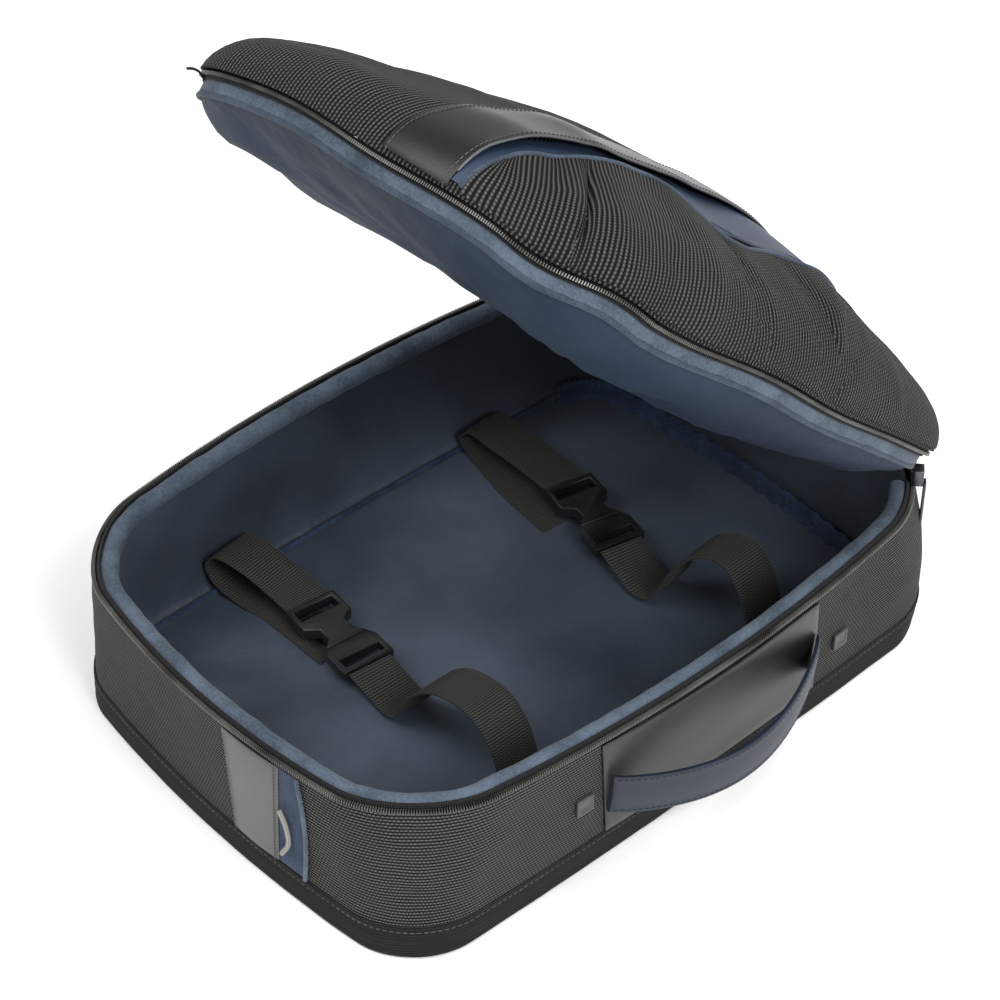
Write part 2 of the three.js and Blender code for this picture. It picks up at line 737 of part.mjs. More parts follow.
// Sheets laid on the tray's upright walls, between two edges that may lean
function wallCover(place, from, to, columns, low, high, out, wall) {
  // place gives a point of the wall; from and to give the two edges at a height
  const heights = spread(low, high, 3);
  const grid = (inset) => heights.map((z) =>
    spread(0, 1, columns).map((share) => place(mix(from(z), to(z), share), z, inset)));
  return slab(grid(out - wall), grid(out));
}
const coverOut = wallInset - coverGap;
const coverFoot = wallFoot + 1;
const coverTop = rimHeight - toothHeight / 2 - 1;

const patchEdge = (z) => bandEnd - patchTaper * clamp((coverTop - z) / (coverTop - coverFoot), 0, 1);
add(bag, 'end_patch',
  wallCover(endWallPoint, () => bandStart, patchEdge, 4, coverFoot, coverTop, coverOut, leatherWall), 'leather');

// Slit beside the patch: navy facing, bound edge and a cord loop to pull
const slitEdge = (z) => patchEdge(z) + seam;
const slitEnd = () => bandEnd + slitWidth;
const slitFacingWall = 0.6;
add(bag, 'slit_facing',
  wallCover(endWallPoint, slitEdge, slitEnd, 2, coverFoot, coverTop, coverOut, slitFacingWall), 'navyFacing');
const slitBindingWidth = 2.6;
add(bag, 'slit_binding', wallCover(endWallPoint, () => slitEnd() + seam,
  () => slitEnd() + seam + slitBindingWidth, 1, coverFoot, coverTop, coverOut, slitBindingWidth), 'binding');

const loopRadius = 1.1;
const loopInset = coverOut - slitFacingWall - seam - loopRadius;
const loopCurve = new THREE.CatmullRomCurve3([[0.98, 0.1], [0.86, 0.5], [0.58, 0.85], [0.34, 0.62], [0.2, 0.25]]
  .map(([height, reach]) => {
    const z = mix(coverFoot, coverTop, height * 0.6);
    return endWallPoint(patchEdge(z) + 2 + reach * (slitWidth - 5), z, loopInset);
  }));
const loopSection = new THREE.Shape();
loopSection.absarc(0, 0, loopRadius, 0, Math.PI * 2, false);
add(bag, 'pull_loop', new THREE.ExtrudeGeometry(loopSection,
  { steps: 14, curveSegments: 3, bevelEnabled: false, extrudePath: loopCurve }), 'zipCoil');

// Smooth panel on the long wall, its carry handle and the square rivets beside it
const leanShare = (z) => 1 - 2 * (z - coverFoot) / (coverTop - coverFoot);
const panelFrom = (z) => panelStart + panelLean * leanShare(z);
const panelTo = (z) => panelEnd + panelLean * leanShare(z);
add(bag, 'side_panel', wallCover(sideWallPoint, panelFrom, panelTo, 8,
  coverFoot, coverTop, coverOut, leatherWall), 'leather');

const handleEnds = [panelStart + 3, panelEnd - 3];
const handleBack = coverOut - leatherWall - seam;
const handleRows = spread(0, 1, 24).map((share) => {
  const y = mix(handleEnds[0], handleEnds[1], share);
  const arch = Math.sin(share * Math.PI) ** 0.85;
  const level = handleLevel - handleSag * arch;
  const inset = handleBack - handleBow * arch;
  return [
    sideWallPoint(y, level - handleHeight / 2, inset),
    sideWallPoint(y, level + handleHeight / 2, inset),
    sideWallPoint(y, level + handleHeight / 2, inset - handleWall),
    sideWallPoint(y, level - handleHeight / 2, inset - handleWall),
  ];
});
add(bag, 'side_handle', loft(handleRows, 'strip'), 'navyLeather');

const rivets = {
  rivet_free_end: [panelStart - rivetOffset, handleLevel],
  rivet_hinge_end: [panelEnd + rivetOffset + 11, handleLevel - handleSag],
};
for (const [name, [y, z]] of Object.entries(rivets)) {
  const reach = rivetSize / 2;
  const ring = (size, inset) => [[-1, -1], [-1, 1], [1, 1], [1, -1]].map(([turnY, turnZ]) =>
    sideWallPoint(y + turnY * size, z + turnZ * size, inset));
  const sections = [
    ring(reach, coverOut), ring(reach, coverOut - rivetHeight + 1), ring(reach - 1, coverOut - rivetHeight),
  ];
  add(bag, name, loft(sections, 'strip'), 'gunmetal');
}

// Straps across the tray. Each row holds shares: along the inner half width, up the strap's arch,
// and aside along the bag's half length
const strapArch = 66;
const innerHalf = bagWidth / 2 - liningInner;
const strapRoutes = {
  strap_1: {
    tail: [
      [-0.38, 0, -0.42], [-0.7, 0.01, -0.425], [-0.92, 0.05, -0.45], [-1.01, 0.16, -0.465], [-1.04, 0.36, -0.47],
      [-1.0, 0.52, -0.462], [-0.87, 0.48, -0.435], [-0.74, 0.31, -0.405], [-0.625, 0.2, -0.39],
    ],
    lead: [
      [-0.174, 0.2, -0.422], [-0.08, 0.13, -0.422], [0.02, 0.06, -0.422], [0.08, 0.1, -0.422],
      [0.13, 0.3, -0.422], [0.2, 0.6, -0.422], [0.32, 0.87, -0.422], [0.45, 0.98, -0.422],
      [0.57, 0.97, -0.422], [0.66, 0.78, -0.422], [0.72, 0.46, -0.422], [0.79, 0.17, -0.422],
      [0.86, 0.03, -0.422], [0.93, 0, -0.422],
    ],
  },
  strap_2: {
    tail: [
      [-0.36, 0, 0.44], [-0.66, 0.01, 0.46], [-0.86, 0.03, 0.49], [-0.97, 0.1, 0.5], [-1.01, 0.2, 0.505],
      [-0.97, 0.3, 0.51], [-0.82, 0.3, 0.515], [-0.62, 0.25, 0.525], [-0.46, 0.2, 0.53],
    ],
    lead: [
      [-0.017, 0.2, 0.46], [0.08, 0.12, 0.45], [0.18, 0.06, 0.438], [0.25, 0.09, 0.44],
      [0.3, 0.27, 0.45], [0.35, 0.57, 0.465], [0.43, 0.85, 0.483], [0.54, 1.0, 0.496],
      [0.63, 0.98, 0.5], [0.7, 0.8, 0.5], [0.75, 0.5, 0.5], [0.8, 0.22, 0.497],
      [0.86, 0.04, 0.49], [0.93, 0, 0.487],
    ],
  },
};
function strapPoints(rows) {
  return rows.map(([along, up, aside]) => new THREE.Vector3(
    along * innerHalf,
    aside * rimShape.halfLength,
    floorLevel + seam + webbingWall / 2 + up * strapArch,
  ));
}

function ribbon(points, squared, isNear) {
  // A strap along its points; isNear says how much a share of it is already square to the buckle
  const curve = new THREE.CatmullRomCurve3(points, false, 'centripetal');
  const sections = spread(0, 1, points.length * 2).map((share) => {
    const point = curve.getPointAt(share);
    const tangent = curve.getTangentAt(share);
    const across = new THREE.Vector3(-tangent.y * Math.sign(tangent.x), Math.abs(tangent.x) + 1, 0).normalize();
    across.lerp(squared, isNear(share)).normalize();
    const up = tangent.cross(across).normalize();
    return [[-1, -1], [-1, 1], [1, 1], [1, -1]].map(([side, face]) => point.clone()
      .addScaledVector(across, side * strapWidth / 2)
      .addScaledVector(up, face * webbingWall / 2));
  });
  return loft(sections, 'strip');
}

// Side-release buckle: a body with a window for the strap, and the catch that clips into it
function plate(outline, holes, thickness) {
  const shape = new THREE.Shape(outline.map(([x, y]) => new THREE.Vector2(x, y)));
  holes.forEach((hole) => shape.holes.push(new THREE.Path(hole.map(([x, y]) => new THREE.Vector2(x, y)))));
  const geometry = new THREE.ExtrudeGeometry(shape, { depth: thickness, bevelEnabled: false });
  return geometry.translate(0, 0, -thickness / 2);
}
const buckleHalf = buckleWidth / 2;
const frameBar = 4;
const windowLength = 10;
const notchDepth = 9;
const socketOutline = [
  [0, -buckleHalf], [0, buckleHalf], [buckleLength * 0.5, buckleHalf], [buckleLength * 0.62, buckleHalf - notchDepth],
  [buckleLength * 0.84, buckleHalf - notchDepth], [buckleLength, buckleHalf - 3], [buckleLength, 3 - buckleHalf],
  [buckleLength * 0.84, notchDepth - buckleHalf], [buckleLength * 0.62, notchDepth - buckleHalf], [buckleLength * 0.5, -buckleHalf],
];
const socketWindow = [
  [frameBar, frameBar - buckleHalf], [frameBar + windowLength, frameBar - buckleHalf],
  [frameBar + windowLength, buckleHalf - frameBar], [frameBar, buckleHalf - frameBar],
];
const catchStart = buckleLength + seam;
const catchEnd = catchStart + catchLength;
const catchHalf = strapWidth / 2 + 3;
const catchOutline = [
  [catchStart, 3 - buckleHalf], [catchStart, buckleHalf - 3], [catchStart + 6, catchHalf], [catchEnd, catchHalf],
  [catchEnd, -catchHalf], [catchStart + 6, -catchHalf],
];
const catchWindow = [
  [catchEnd - frameBar - 8, 1 - strapWidth / 2], [catchEnd - frameBar, 1 - strapWidth / 2],
  [catchEnd - frameBar, strapWidth / 2 - 1], [catchEnd - frameBar - 8, strapWidth / 2 - 1],
];

const squareShare = 0.12;
const buckleEase = 1.2;
for (const [name, route] of Object.entries(strapRoutes)) {
  const tail = strapPoints(route.tail);
  const lead = strapPoints(route.lead);
  // The lead starts at the buckle's far end, so the buckle keeps its length in a bag of any width
  const from = tail[tail.length - 1];
  const run = lead[0].clone().sub(from).setZ(0).normalize();
  const to = from.clone().addScaledVector(run, catchEnd + 2 * buckleEase);
  lead[0].set(to.x, to.y, lead[0].z);
  const squared = new THREE.Vector3(-run.y, run.x, 0);
  const tailNear = (share) => clamp((share - 1 + squareShare) / squareShare, 0, 1);
  add(bag, `${name}_tail`, ribbon(tail, squared, tailNear), 'webbing');
  add(bag, `${name}_lead`, ribbon(lead, squared, (share) => tailNear(1 - share)), 'webbing');
  const middle = from.clone().lerp(to, 0.5);
  const buckle = new THREE.Group();
  buckle.position.set(middle.x, middle.y, buckleLevel);
  buckle.rotation.z = Math.atan2(run.y, run.x);
  const socket = plate(socketOutline, [socketWindow], buckleThickness);
  const clip = plate(catchOutline, [catchWindow], buckleThickness - 2);
  add(buckle, `${name}_socket`, socket.translate(-catchEnd / 2, 0, 0), 'acetal');
  add(buckle, `${name}_catch`, clip.translate(-catchEnd / 2, 0, 0), 'acetal');
  bag.add(buckle);
}

// Zip slider at the near hinge corner, its body upright between the two rims, its pull hanging
const sliderOut = 1.2;
const sliderPlace = trayPoint(zipEnd - 0.05, rimHeight + toothHeight / 2 + seam + sliderLength / 2, -sliderOut);
const outward = outlineNormal(rimShape, zipEnd - 0.05);
const slider = new THREE.Group();
slider.position.copy(sliderPlace);
slider.rotation.z = Math.atan2(outward.y, outward.x);
const sliderShape = new THREE.Shape([
  new THREE.Vector2(-sliderWidth / 2, sliderLength / 2), new THREE.Vector2(-sliderWidth / 3, -sliderLength / 2),
  new THREE.Vector2(sliderWidth / 3, -sliderLength / 2), new THREE.Vector2(sliderWidth / 2, sliderLength / 2),
]);
const sliderBody = new THREE.ExtrudeGeometry(sliderShape, { depth: sliderThickness, bevelEnabled: false });
sliderBody.translate(0, 0, -sliderThickness / 2).rotateX(Math.PI / 2).rotateZ(Math.PI / 2);
add(slider, 'zip_slider', sliderBody, 'gunmetal');

const pullStart = sliderThickness / 2 + seam;
const pullTop = -sliderLength / 2 + 3;
const pullShape = new THREE.Shape([
  new THREE.Vector2(-pullWidth / 2, 0), new THREE.Vector2(pullWidth / 2, 0),
  new THREE.Vector2(pullWidth / 2, -pullLength + 2), new THREE.Vector2(pullWidth / 2 - 2, -pullLength),
  new THREE.Vector2(2 - pullWidth / 2, -pullLength), new THREE.Vector2(-pullWidth / 2, -pullLength + 2),
]);
const pullBody = new THREE.ExtrudeGeometry(pullShape, { depth: pullWall, bevelEnabled: false });
pullBody.rotateX(Math.PI / 2).rotateZ(Math.PI / 2).translate(pullStart, 0, pullTop);
add(slider, 'zip_pull', pullBody, 'gunmetal');
bag.add(slider);

export default bag;
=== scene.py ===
# %% [markdown]
# # A convertible backpack, open on its back
#
# The bag lies on its padded back. A zip runs round three sides, so the lid stands open on the cloth
# that joins it to the tray. The solids from the CAD step give the frame: sizes, places and the one
# joint of the zip's pull. This script dresses them in cloth, leather, webbing and moulded plastic.

# %% The frame and the tools
import math

import bmesh
import bpy
from mathutils import Matrix, Vector, noise


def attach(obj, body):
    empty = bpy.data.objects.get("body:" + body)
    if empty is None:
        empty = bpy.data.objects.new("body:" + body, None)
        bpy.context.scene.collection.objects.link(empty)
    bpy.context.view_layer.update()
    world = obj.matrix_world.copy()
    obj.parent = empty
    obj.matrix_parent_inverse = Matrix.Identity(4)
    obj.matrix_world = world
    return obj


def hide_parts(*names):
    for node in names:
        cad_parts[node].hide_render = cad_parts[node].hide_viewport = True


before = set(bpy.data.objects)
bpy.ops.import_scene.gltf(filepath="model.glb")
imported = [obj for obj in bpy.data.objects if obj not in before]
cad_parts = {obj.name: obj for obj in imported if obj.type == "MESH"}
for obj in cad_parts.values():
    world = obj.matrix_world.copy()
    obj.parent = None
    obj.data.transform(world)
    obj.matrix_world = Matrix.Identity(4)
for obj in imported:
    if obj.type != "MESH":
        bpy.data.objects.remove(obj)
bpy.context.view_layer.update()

MM = 0.001

# %% [markdown]
# ## The bag's own measures
#
# The cloth pieces are lofted from the same outline as the solids, in millimetres: a rounded
# rectangle whose sides bow out. The outline is walked in steps: a quarter of the hinge end, a corner,
# a long side, a corner, the free end, and back round.

# %% Measures of the bag
BAG_LENGTH, RIM = 460, 119
RIM_SHAPE = dict(a=169, b=230, r=58, end=24, side=22.7)
BASE_SHAPE = dict(a=173.2, b=234.2, r=45, end=14.6, side=4.7)
HINGE_SWELL, CORNER_MIDDLE, CORNER_SPREAD = 6.5, 5.5, 2
STEPS = [3, 5, 8, 5, 6, 5, 8, 5, 3]
AROUND = 48
FAR_SIDE, FREE_END, NEAR_END = 8, 21, 40
ZIP_START, ZIP_END = FAR_SIDE - 2.45, NEAR_END + 2.45
HINGE_Y, OPEN_ANGLE = 250, math.radians(43.2)
LID_LENGTH = HINGE_Y + 230 + 24
LID_DEPTH, LINING_DEPTH, LID_DROOP, SHOULDER, SHELL_FOOT = 70, 55, 23, 68, 3
CROWN = [(-0.02, 0.6), (0.12, 0.6), (0.28, 0.76), (0.45, 0.985), (0.62, 0.84), (0.78, 0.69),
         (0.9, 0.62), (1.02, 0.84)]
SAGGING = [(-0.02, 0.5), (0.12, 0.66), (0.3, 0.92), (0.5, 1), (0.7, 0.92), (0.85, 0.74), (1.02, 0.36)]


def clamp(value, low=0.0, high=1.0):
    return max(low, min(high, value))


def mix(low, high, share):
    return low + (high - low) * share


def spread(low, high, count):
    return [mix(low, high, step / count) for step in range(count + 1)]


def smooth(share):
    share = clamp(share)
    return share * share * (3 - 2 * share)


def table_value(rows, share):
    """A smooth value between the rows of a table of share and value."""
    if share <= rows[0][0]:
        return rows[0][1]
    for (low_share, low), (high_share, high) in zip(rows, rows[1:]):
        if share <= high_share:
            return mix(low, high, smooth((share - low_share) / (high_share - low_share)))
    return rows[-1][1]

# %% [markdown]
# The real walls are cut from flat cloth and bow out when the bag is filled. A plain rounded box
# could be bevelled from a cube, but its sides would be straight, so the outline is a function:
# straight legs and arcs, then a bow that is largest in the middle of a side.

# %% The outline and the tray's walls
def outline(shape, station):
    """A point of the rounded, bowed outline, counter-clockwise from the middle of the hinge end."""
    a, b, r = shape["a"], shape["b"], shape["r"]

    def arc(x, y, degrees):
        turn = math.radians(degrees)
        return x + r * math.cos(turn), y + r * math.sin(turn)

    legs = [lambda t: (-(a - r) * t, b), lambda t: arc(r - a, b - r, 90 + 90 * t),
            lambda t: (-a, (b - r) * (1 - 2 * t)), lambda t: arc(r - a, r - b, 180 + 90 * t),
            lambda t: ((a - r) * (2 * t - 1), -b), lambda t: arc(a - r, r - b, 270 + 90 * t),
            lambda t: (a, (b - r) * (2 * t - 1)), lambda t: arc(a - r, b - r, 90 * t),
            lambda t: ((a - r) * (1 - t), b)]
    left = station % AROUND
    for length, leg in zip(STEPS, legs):
        if left <= length:
            x, y = leg(left / length)
            break
        left -= length
    bow_x = 1 + shape["side"] / a * (1 - (y / b) ** 2)
    bow_y = 1 + shape["end"] / b * (1 - (x / a) ** 2)
    return Vector((x * bow_x, y * bow_y, 0))


def outline_normal(shape, station):
    along = outline(shape, station + 0.05) - outline(shape, station - 0.05)
    return Vector((along.y, -along.x, 0)).normalized()


def tray_point(station, z, inset):
    """A point of the tray's wall at a height, moved in from its face."""
    share = clamp(z / RIM, 0, 1.1)
    point = outline(BASE_SHAPE, station).lerp(outline(RIM_SHAPE, station), share)
    normal = outline_normal(BASE_SHAPE, station).lerp(outline_normal(RIM_SHAPE, station), share)
    station = station % AROUND
    to_hinge = min(station, AROUND - station)
    corner = math.exp(-((to_hinge - CORNER_MIDDLE) / CORNER_SPREAD) ** 2)
    swell = HINGE_SWELL * corner * math.sin(clamp(share) * math.pi)
    point += normal.normalized() * (swell - inset)
    point.z = z
    return point

# %% [markdown]
# The lid is a padded dome with a sagging free end. Sculpting would do it once; a function of depth
# from the edge also gives the places of the zip, band and pocket that lie on it. All of it is
# turned about the hinge by one matrix.

# %% The lid's surfaces
LID_PLACE = Matrix.Translation((0, HINGE_Y, RIM)) @ Matrix.Rotation(-OPEN_ANGLE, 4, "X")


def drawn_in(depth):
    share = 1 - depth / RIM_SHAPE["a"]
    a = RIM_SHAPE["a"] - depth
    return dict(a=a, b=RIM_SHAPE["b"] - depth, r=max(RIM_SHAPE["r"] - depth, min(RIM_SHAPE["r"], a) / 2),
                end=RIM_SHAPE["end"] * share, side=RIM_SHAPE["side"] * share)


def roof(depth):
    """Share of the full height at this depth from the edge."""
    if depth >= SHOULDER:
        return 0.9 + 0.1 * (1 - math.exp((SHOULDER - depth) / 40))
    return 0.9 * math.sqrt(max(1 - (1 - depth / SHOULDER) ** 2, 0))


def droop(x, y):
    return -LID_DROOP * (HINGE_Y - y) / BAG_LENGTH * max(-x / RIM_SHAPE["a"], 0) ** 2


def ripple(station, depth):
    along = clamp((station - FREE_END) / (NEAR_END - FREE_END))
    return 2 * math.sin(along * math.pi) * math.sin(along * math.pi * 9) * math.exp(-depth / 12)


def lid_place(x, y, n):
    """A point of the lid in the bag's frame, its near hinge corner drawn in a little."""
    tuck = 6 * math.exp(-((x / RIM_SHAPE["a"] - 1) ** 2 + (y / RIM_SHAPE["b"] - 1) ** 2) * 16)
    return LID_PLACE @ Vector((x - tuck, y - HINGE_Y, n + droop(x, y)))


CREST = [(-0.52, 0), (-0.44, 0.65), (-0.326, 1), (-0.146, 0.55), (0.13, 0)]
CREST_HEIGHT, CREST_MIDDLE, CREST_REACH = 16, 45, 50


def crest(x, y):
    """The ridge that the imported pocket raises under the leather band."""
    across = math.exp(-((x - CREST_MIDDLE) / CREST_REACH) ** 2)
    return CREST_HEIGHT * across * table_value(CREST, y / BAG_LENGTH)


def lid_surface(x, y, depth, lift=0.0):
    height = LID_DEPTH * table_value(CROWN, (HINGE_Y - y) / LID_LENGTH)
    return lid_place(x, y, SHELL_FOOT + (height - SHELL_FOOT) * roof(depth) + crest(x, y) + lift)


def shell_point(station, depth, lift=0.0):
    """A point of the lid's outer shell, lifted square to it."""
    turn = math.acos(clamp(1 - depth / SHOULDER))
    out = outline_normal(RIM_SHAPE, station)
    place = outline(drawn_in(depth), station) + out * lift * math.cos(turn)
    return lid_surface(place.x, place.y, depth, lift * math.sin(turn) + ripple(station, depth))


def ring_depth(x, y):
    """How deep in from the rim's outline the ring lies that passes through x, y."""
    low, high = 0.0, RIM_SHAPE["a"] - 1.0
    for _ in range(22):
        depth = (low + high) / 2
        s = drawn_in(depth)
        flat_x, flat_y = x, y
        for _ in range(3):
            near_y, near_x = clamp(flat_y / s["b"], -1, 1), clamp(flat_x / s["a"], -1, 1)
            flat_x = x / (1 + s["side"] / s["a"] * (1 - near_y ** 2))
            flat_y = y / (1 + s["end"] / s["b"] * (1 - near_x ** 2))
        over_x, over_y = abs(flat_x) - (s["a"] - s["r"]), abs(flat_y) - (s["b"] - s["r"])
        inside = math.hypot(max(over_x, 0), max(over_y, 0)) + min(max(over_x, over_y), 0) < s["r"]
        low, high = (depth, high) if inside else (low, depth)
    return (low + high) / 2


# %% [markdown]
# ## Making meshes
#
# A cloth piece is a grid of points with a UV map in metres, so that a weave keeps its real pitch
# wherever the surface turns. The grid gets its thickness from a Solidify modifier, as sewn cloth
# would, and the modifier is applied.

# %% Helpers that make a piece
def select_only(obj):
    bpy.ops.object.select_all(action="DESELECT")
    obj.select_set(True)
    bpy.context.view_layer.objects.active = obj


def apply_modifier(obj, kind, **settings):
    select_only(obj)
    modifier = obj.modifiers.new(kind.title(), kind)
    for name, value in settings.items():
        setattr(modifier, name, value)
    bpy.ops.object.modifier_apply(modifier=modifier.name)


def soften(obj, width, segments=2, sharp=1.0):
    """Rounds the edges that are sharper than an angle in radians."""
    apply_modifier(obj, "BEVEL", width=width * MM, segments=segments, limit_method="ANGLE",
                   angle_limit=sharp)


def finish_piece(obj, material, slot, *replaced, body="bag", smooth_angle=50):
    obj.data.materials.clear()
    obj.data.materials.append(material)
    select_only(obj)
    bpy.ops.object.shade_smooth_by_angle(angle=math.radians(smooth_angle))
    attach(obj, body)
    if replaced:
        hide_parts(*replaced)
    print(obj.name, len(obj.data.polygons), "faces")


def mesh_object(name, points, faces, uvs=None):
    mesh = bpy.data.meshes.new(name)
    mesh.from_pydata([Vector(p) * MM for p in points], [], faces)
    if uvs:
        layer = mesh.uv_layers.new(name="UVMap")
        for loop in mesh.loops:
            u, v = uvs[loop.vertex_index]
            layer.data[loop.index].uv = (u * MM, v * MM)
    mesh.update()
    obj = bpy.data.objects.new(name, mesh)
    bpy.context.scene.collection.objects.link(obj)
    return obj


def grid_object(name, rows, wall=0.0, closed=False, offset=0, flip=False, track=0.5):
    """A sheet from rows of points. Closed joins the last row to the first.

    The weave's run is measured along one column, the track, given as a share of the row.
    """
    columns = len(rows[0])
    if closed:
        rows = rows + [rows[0]]
    middle = int((columns - 1) * track)
    points, uvs, run = [], [], 0.0
    for index, row in enumerate(rows):
        if index:
            run += (row[middle] - rows[index - 1][middle]).length
        across = 0.0
        for step, point in enumerate(row):
            if step:
                across += (point - row[step - 1]).length
            points.append(point)
            uvs.append((run, across))
    faces = []
    for index in range(len(rows) - 1):
        for step in range(columns - 1):
            corner = index * columns + step
            face = [corner, corner + 1, corner + columns + 1, corner + columns]
            faces.append(face[::-1] if flip else face)
    obj = mesh_object(name, points, faces, uvs)
    if closed:
        weld(obj)
    if wall:
        apply_modifier(obj, "SOLIDIFY", thickness=wall * MM, offset=offset)
        outward(obj)
    return obj


def on_whole_mesh(obj, operator, **settings):
    select_only(obj)
    bpy.ops.object.mode_set(mode="EDIT")
    bpy.ops.mesh.select_all(action="SELECT")
    operator(**settings)
    bpy.ops.object.mode_set(mode="OBJECT")


def weld(obj, distance=0.00001):
    on_whole_mesh(obj, bpy.ops.mesh.remove_doubles, threshold=distance)


def outward(obj):
    on_whole_mesh(obj, bpy.ops.mesh.normals_make_consistent, inside=False)


def round_sheet(name, rows, wall, offset=0, track=0.5):
    """A sheet that closes on itself and over its middle, where its rows are welded."""
    obj = grid_object(name, rows, closed=True, track=track)
    weld(obj, 0.0004)
    apply_modifier(obj, "SOLIDIFY", thickness=wall * MM, offset=offset)
    outward(obj)
    return obj


def loft_object(name, sections, closed=False):
    """A solid bar of closed sections, its UV run along the bar and round the section."""
    size = len(sections[0])
    rows = [section + [section[0]] for section in sections]
    obj = grid_object(name, rows, closed=closed)
    weld(obj)
    if not closed:
        mesh = bmesh.new()
        mesh.from_mesh(obj.data)
        rims = [edge for edge in mesh.edges if edge.is_boundary]
        bmesh.ops.holes_fill(mesh, edges=rims, sides=size + 1)
        mesh.to_mesh(obj.data)
        mesh.free()
    outward(obj)
    return obj


def ring(inset, height, radius, count):
    """A round profile, as pairs of inset and height."""
    turns = [2 * math.pi * step / count for step in range(count)]
    return [(inset + radius * math.cos(t), height + radius * math.sin(t)) for t in turns]


def tube_sections(points, radius, sides=8, up=Vector((0, 0, 1))):
    sections = []
    for index, point in enumerate(points):
        ahead = points[min(index + 1, len(points) - 1)] - points[max(index - 1, 0)]
        side = ahead.cross(up).normalized()
        rise = side.cross(ahead).normalized()
        turns = [2 * math.pi * step / sides for step in range(sides)]
        sections.append([point + side * radius * math.cos(t) + rise * radius * math.sin(t) for t in turns])
    return sections


def tube(name, line, radius, material, slot, *replaced, sides=8, up=Vector((0, 0, 1))):
    finish_piece(loft_object(name, tube_sections(line, radius, sides, up)), material, slot, *replaced)


def walk(points, pitch):
    """Points and directions at even steps along a line of points."""
    places, left = [], 0.0
    for here, there in zip(points, points[1:]):
        length = (there - here).length
        while left <= length and length > 0:
            places.append((here.lerp(there, left / length), (there - here).normalized()))
            left += pitch
        left -= length
    return places


def repeated(name, places, size, across_of):
    """Small rounded bars, one at each place. Size is along the line, across it and outwards."""
    points, faces = [], []
    block = [(-1, -1, -0.6), (1, -1, -0.6), (1, 1, -0.6), (-1, 1, -0.6),
             (-0.6, -0.8, 1), (0.6, -0.8, 1), (0.6, 0.8, 1), (-0.6, 0.8, 1)]
    sides = [(3, 2, 1, 0), (4, 5, 6, 7), (0, 1, 5, 4), (1, 2, 6, 5), (2, 3, 7, 6), (3, 0, 4, 7)]
    for place, along in places:
        out = across_of(place, along)
        across = out.cross(along).normalized()
        base = len(points)
        points += [place + along * size[0] / 2 * x + across * size[1] / 2 * y + out * size[2] / 2 * z
                   for x, y, z in block]
        faces += [tuple(base + corner for corner in side) for side in sides]
    return mesh_object(name, points, faces)


def stitching(name, lines, pitch, size, across_of, thread, slot):
    """Rows of stitches along lines, joined into one piece."""
    rows = [repeated(name, walk(line, pitch), size, across_of) for line in lines]
    select_only(rows[0])
    for row in rows[1:]:
        row.select_set(True)
    bpy.ops.object.join()
    finish_piece(rows[0], thread, slot)


# %% [markdown]
# ## Materials
#
# Each material is named for what the real one is. Colours are sRGB hex values, turned to linear by
# one function, and one function adds a node with its settings and links. Image textures would carry
# the weave too, but a pattern of nodes in metres keeps its size on every piece.

# %% Colour and node helpers
def linear(code):
    channels = [int(code[index:index + 2], 16) / 255 for index in (1, 3, 5)]
    return [c / 12.92 if c <= 0.04045 else ((c + 0.055) / 1.055) ** 2.4 for c in channels] + [1.0]


def new_material(name, roughness, metallic=0.0, **sockets):
    material = bpy.data.materials.new(name)
    material.use_nodes = True
    shader = material.node_tree.nodes["Principled BSDF"]
    shader.inputs["Roughness"].default_value = roughness
    shader.inputs["Metallic"].default_value = metallic
    for socket, value in sockets.items():
        shader.inputs[socket.replace("_", " ")].default_value = value
    return material, shader


def node(material, kind, inputs=None, output=0, **settings):
    """Adds a node with its settings; inputs are values or other nodes' outputs. Returns its output."""
    made = material.node_tree.nodes.new(kind)
    for name, value in settings.items():
        setattr(made, name, value)
    for key, value in (inputs or {}).items():
        socket = made.inputs[key]
        if isinstance(value, bpy.types.NodeSocket):
            material.node_tree.links.new(value, socket)
        else:
            socket.default_value = value
    return made.outputs[output]


def math_node(material, operation, *values):
    return node(material, "ShaderNodeMath", dict(enumerate(values)), operation=operation)


def ramp(material, factor, stops):
    made = material.node_tree.nodes.new("ShaderNodeValToRGB")
    material.node_tree.links.new(factor, made.inputs[0])
    while len(made.color_ramp.elements) < len(stops):
        made.color_ramp.elements.new(0.5)
    for element, (place, code) in zip(made.color_ramp.elements, stops):
        element.position = place
        element.color = linear(code)
    return made.outputs[0]


def connect(material, shader, color=None, height=None, distance=0.0005, strength=0.6, rough=None):
    links = material.node_tree.links
    if color:
        links.new(color, shader.inputs["Base Color"])
    if rough:
        links.new(rough, shader.inputs["Roughness"])
    if height:
        bump = node(material, "ShaderNodeBump",
                    {"Height": height, "Distance": distance, "Strength": strength})
        links.new(bump, shader.inputs["Normal"])


def uv_parts(material):
    """The piece's own U, its run, and V, across it, in metres."""
    made = material.node_tree.nodes.new("ShaderNodeSeparateXYZ")
    material.node_tree.links.new(node(material, "ShaderNodeUVMap", uv_map="UVMap"), made.inputs[0])
    return made.outputs[0], made.outputs[1]


def object_noise(material, scale, detail=2.0, rough=0.5):
    where = node(material, "ShaderNodeTexCoord", output=3)
    return node(material, "ShaderNodeTexNoise",
                {"Vector": where, "Scale": scale, "Detail": detail, "Roughness": rough})


def wave(material, value, pitch_mm, shift=0.0):
    """A 0 to 1 wave along a coordinate in metres, with its pitch in millimetres."""
    turn = math_node(material, "MULTIPLY", value, 2 * math.pi / (pitch_mm * MM))
    if not isinstance(shift, float) or shift:
        turn = math_node(material, "ADD", turn, shift)
    sine = math_node(material, "SINE", turn)
    return math_node(material, "MULTIPLY_ADD", sine, 0.5, 0.5)


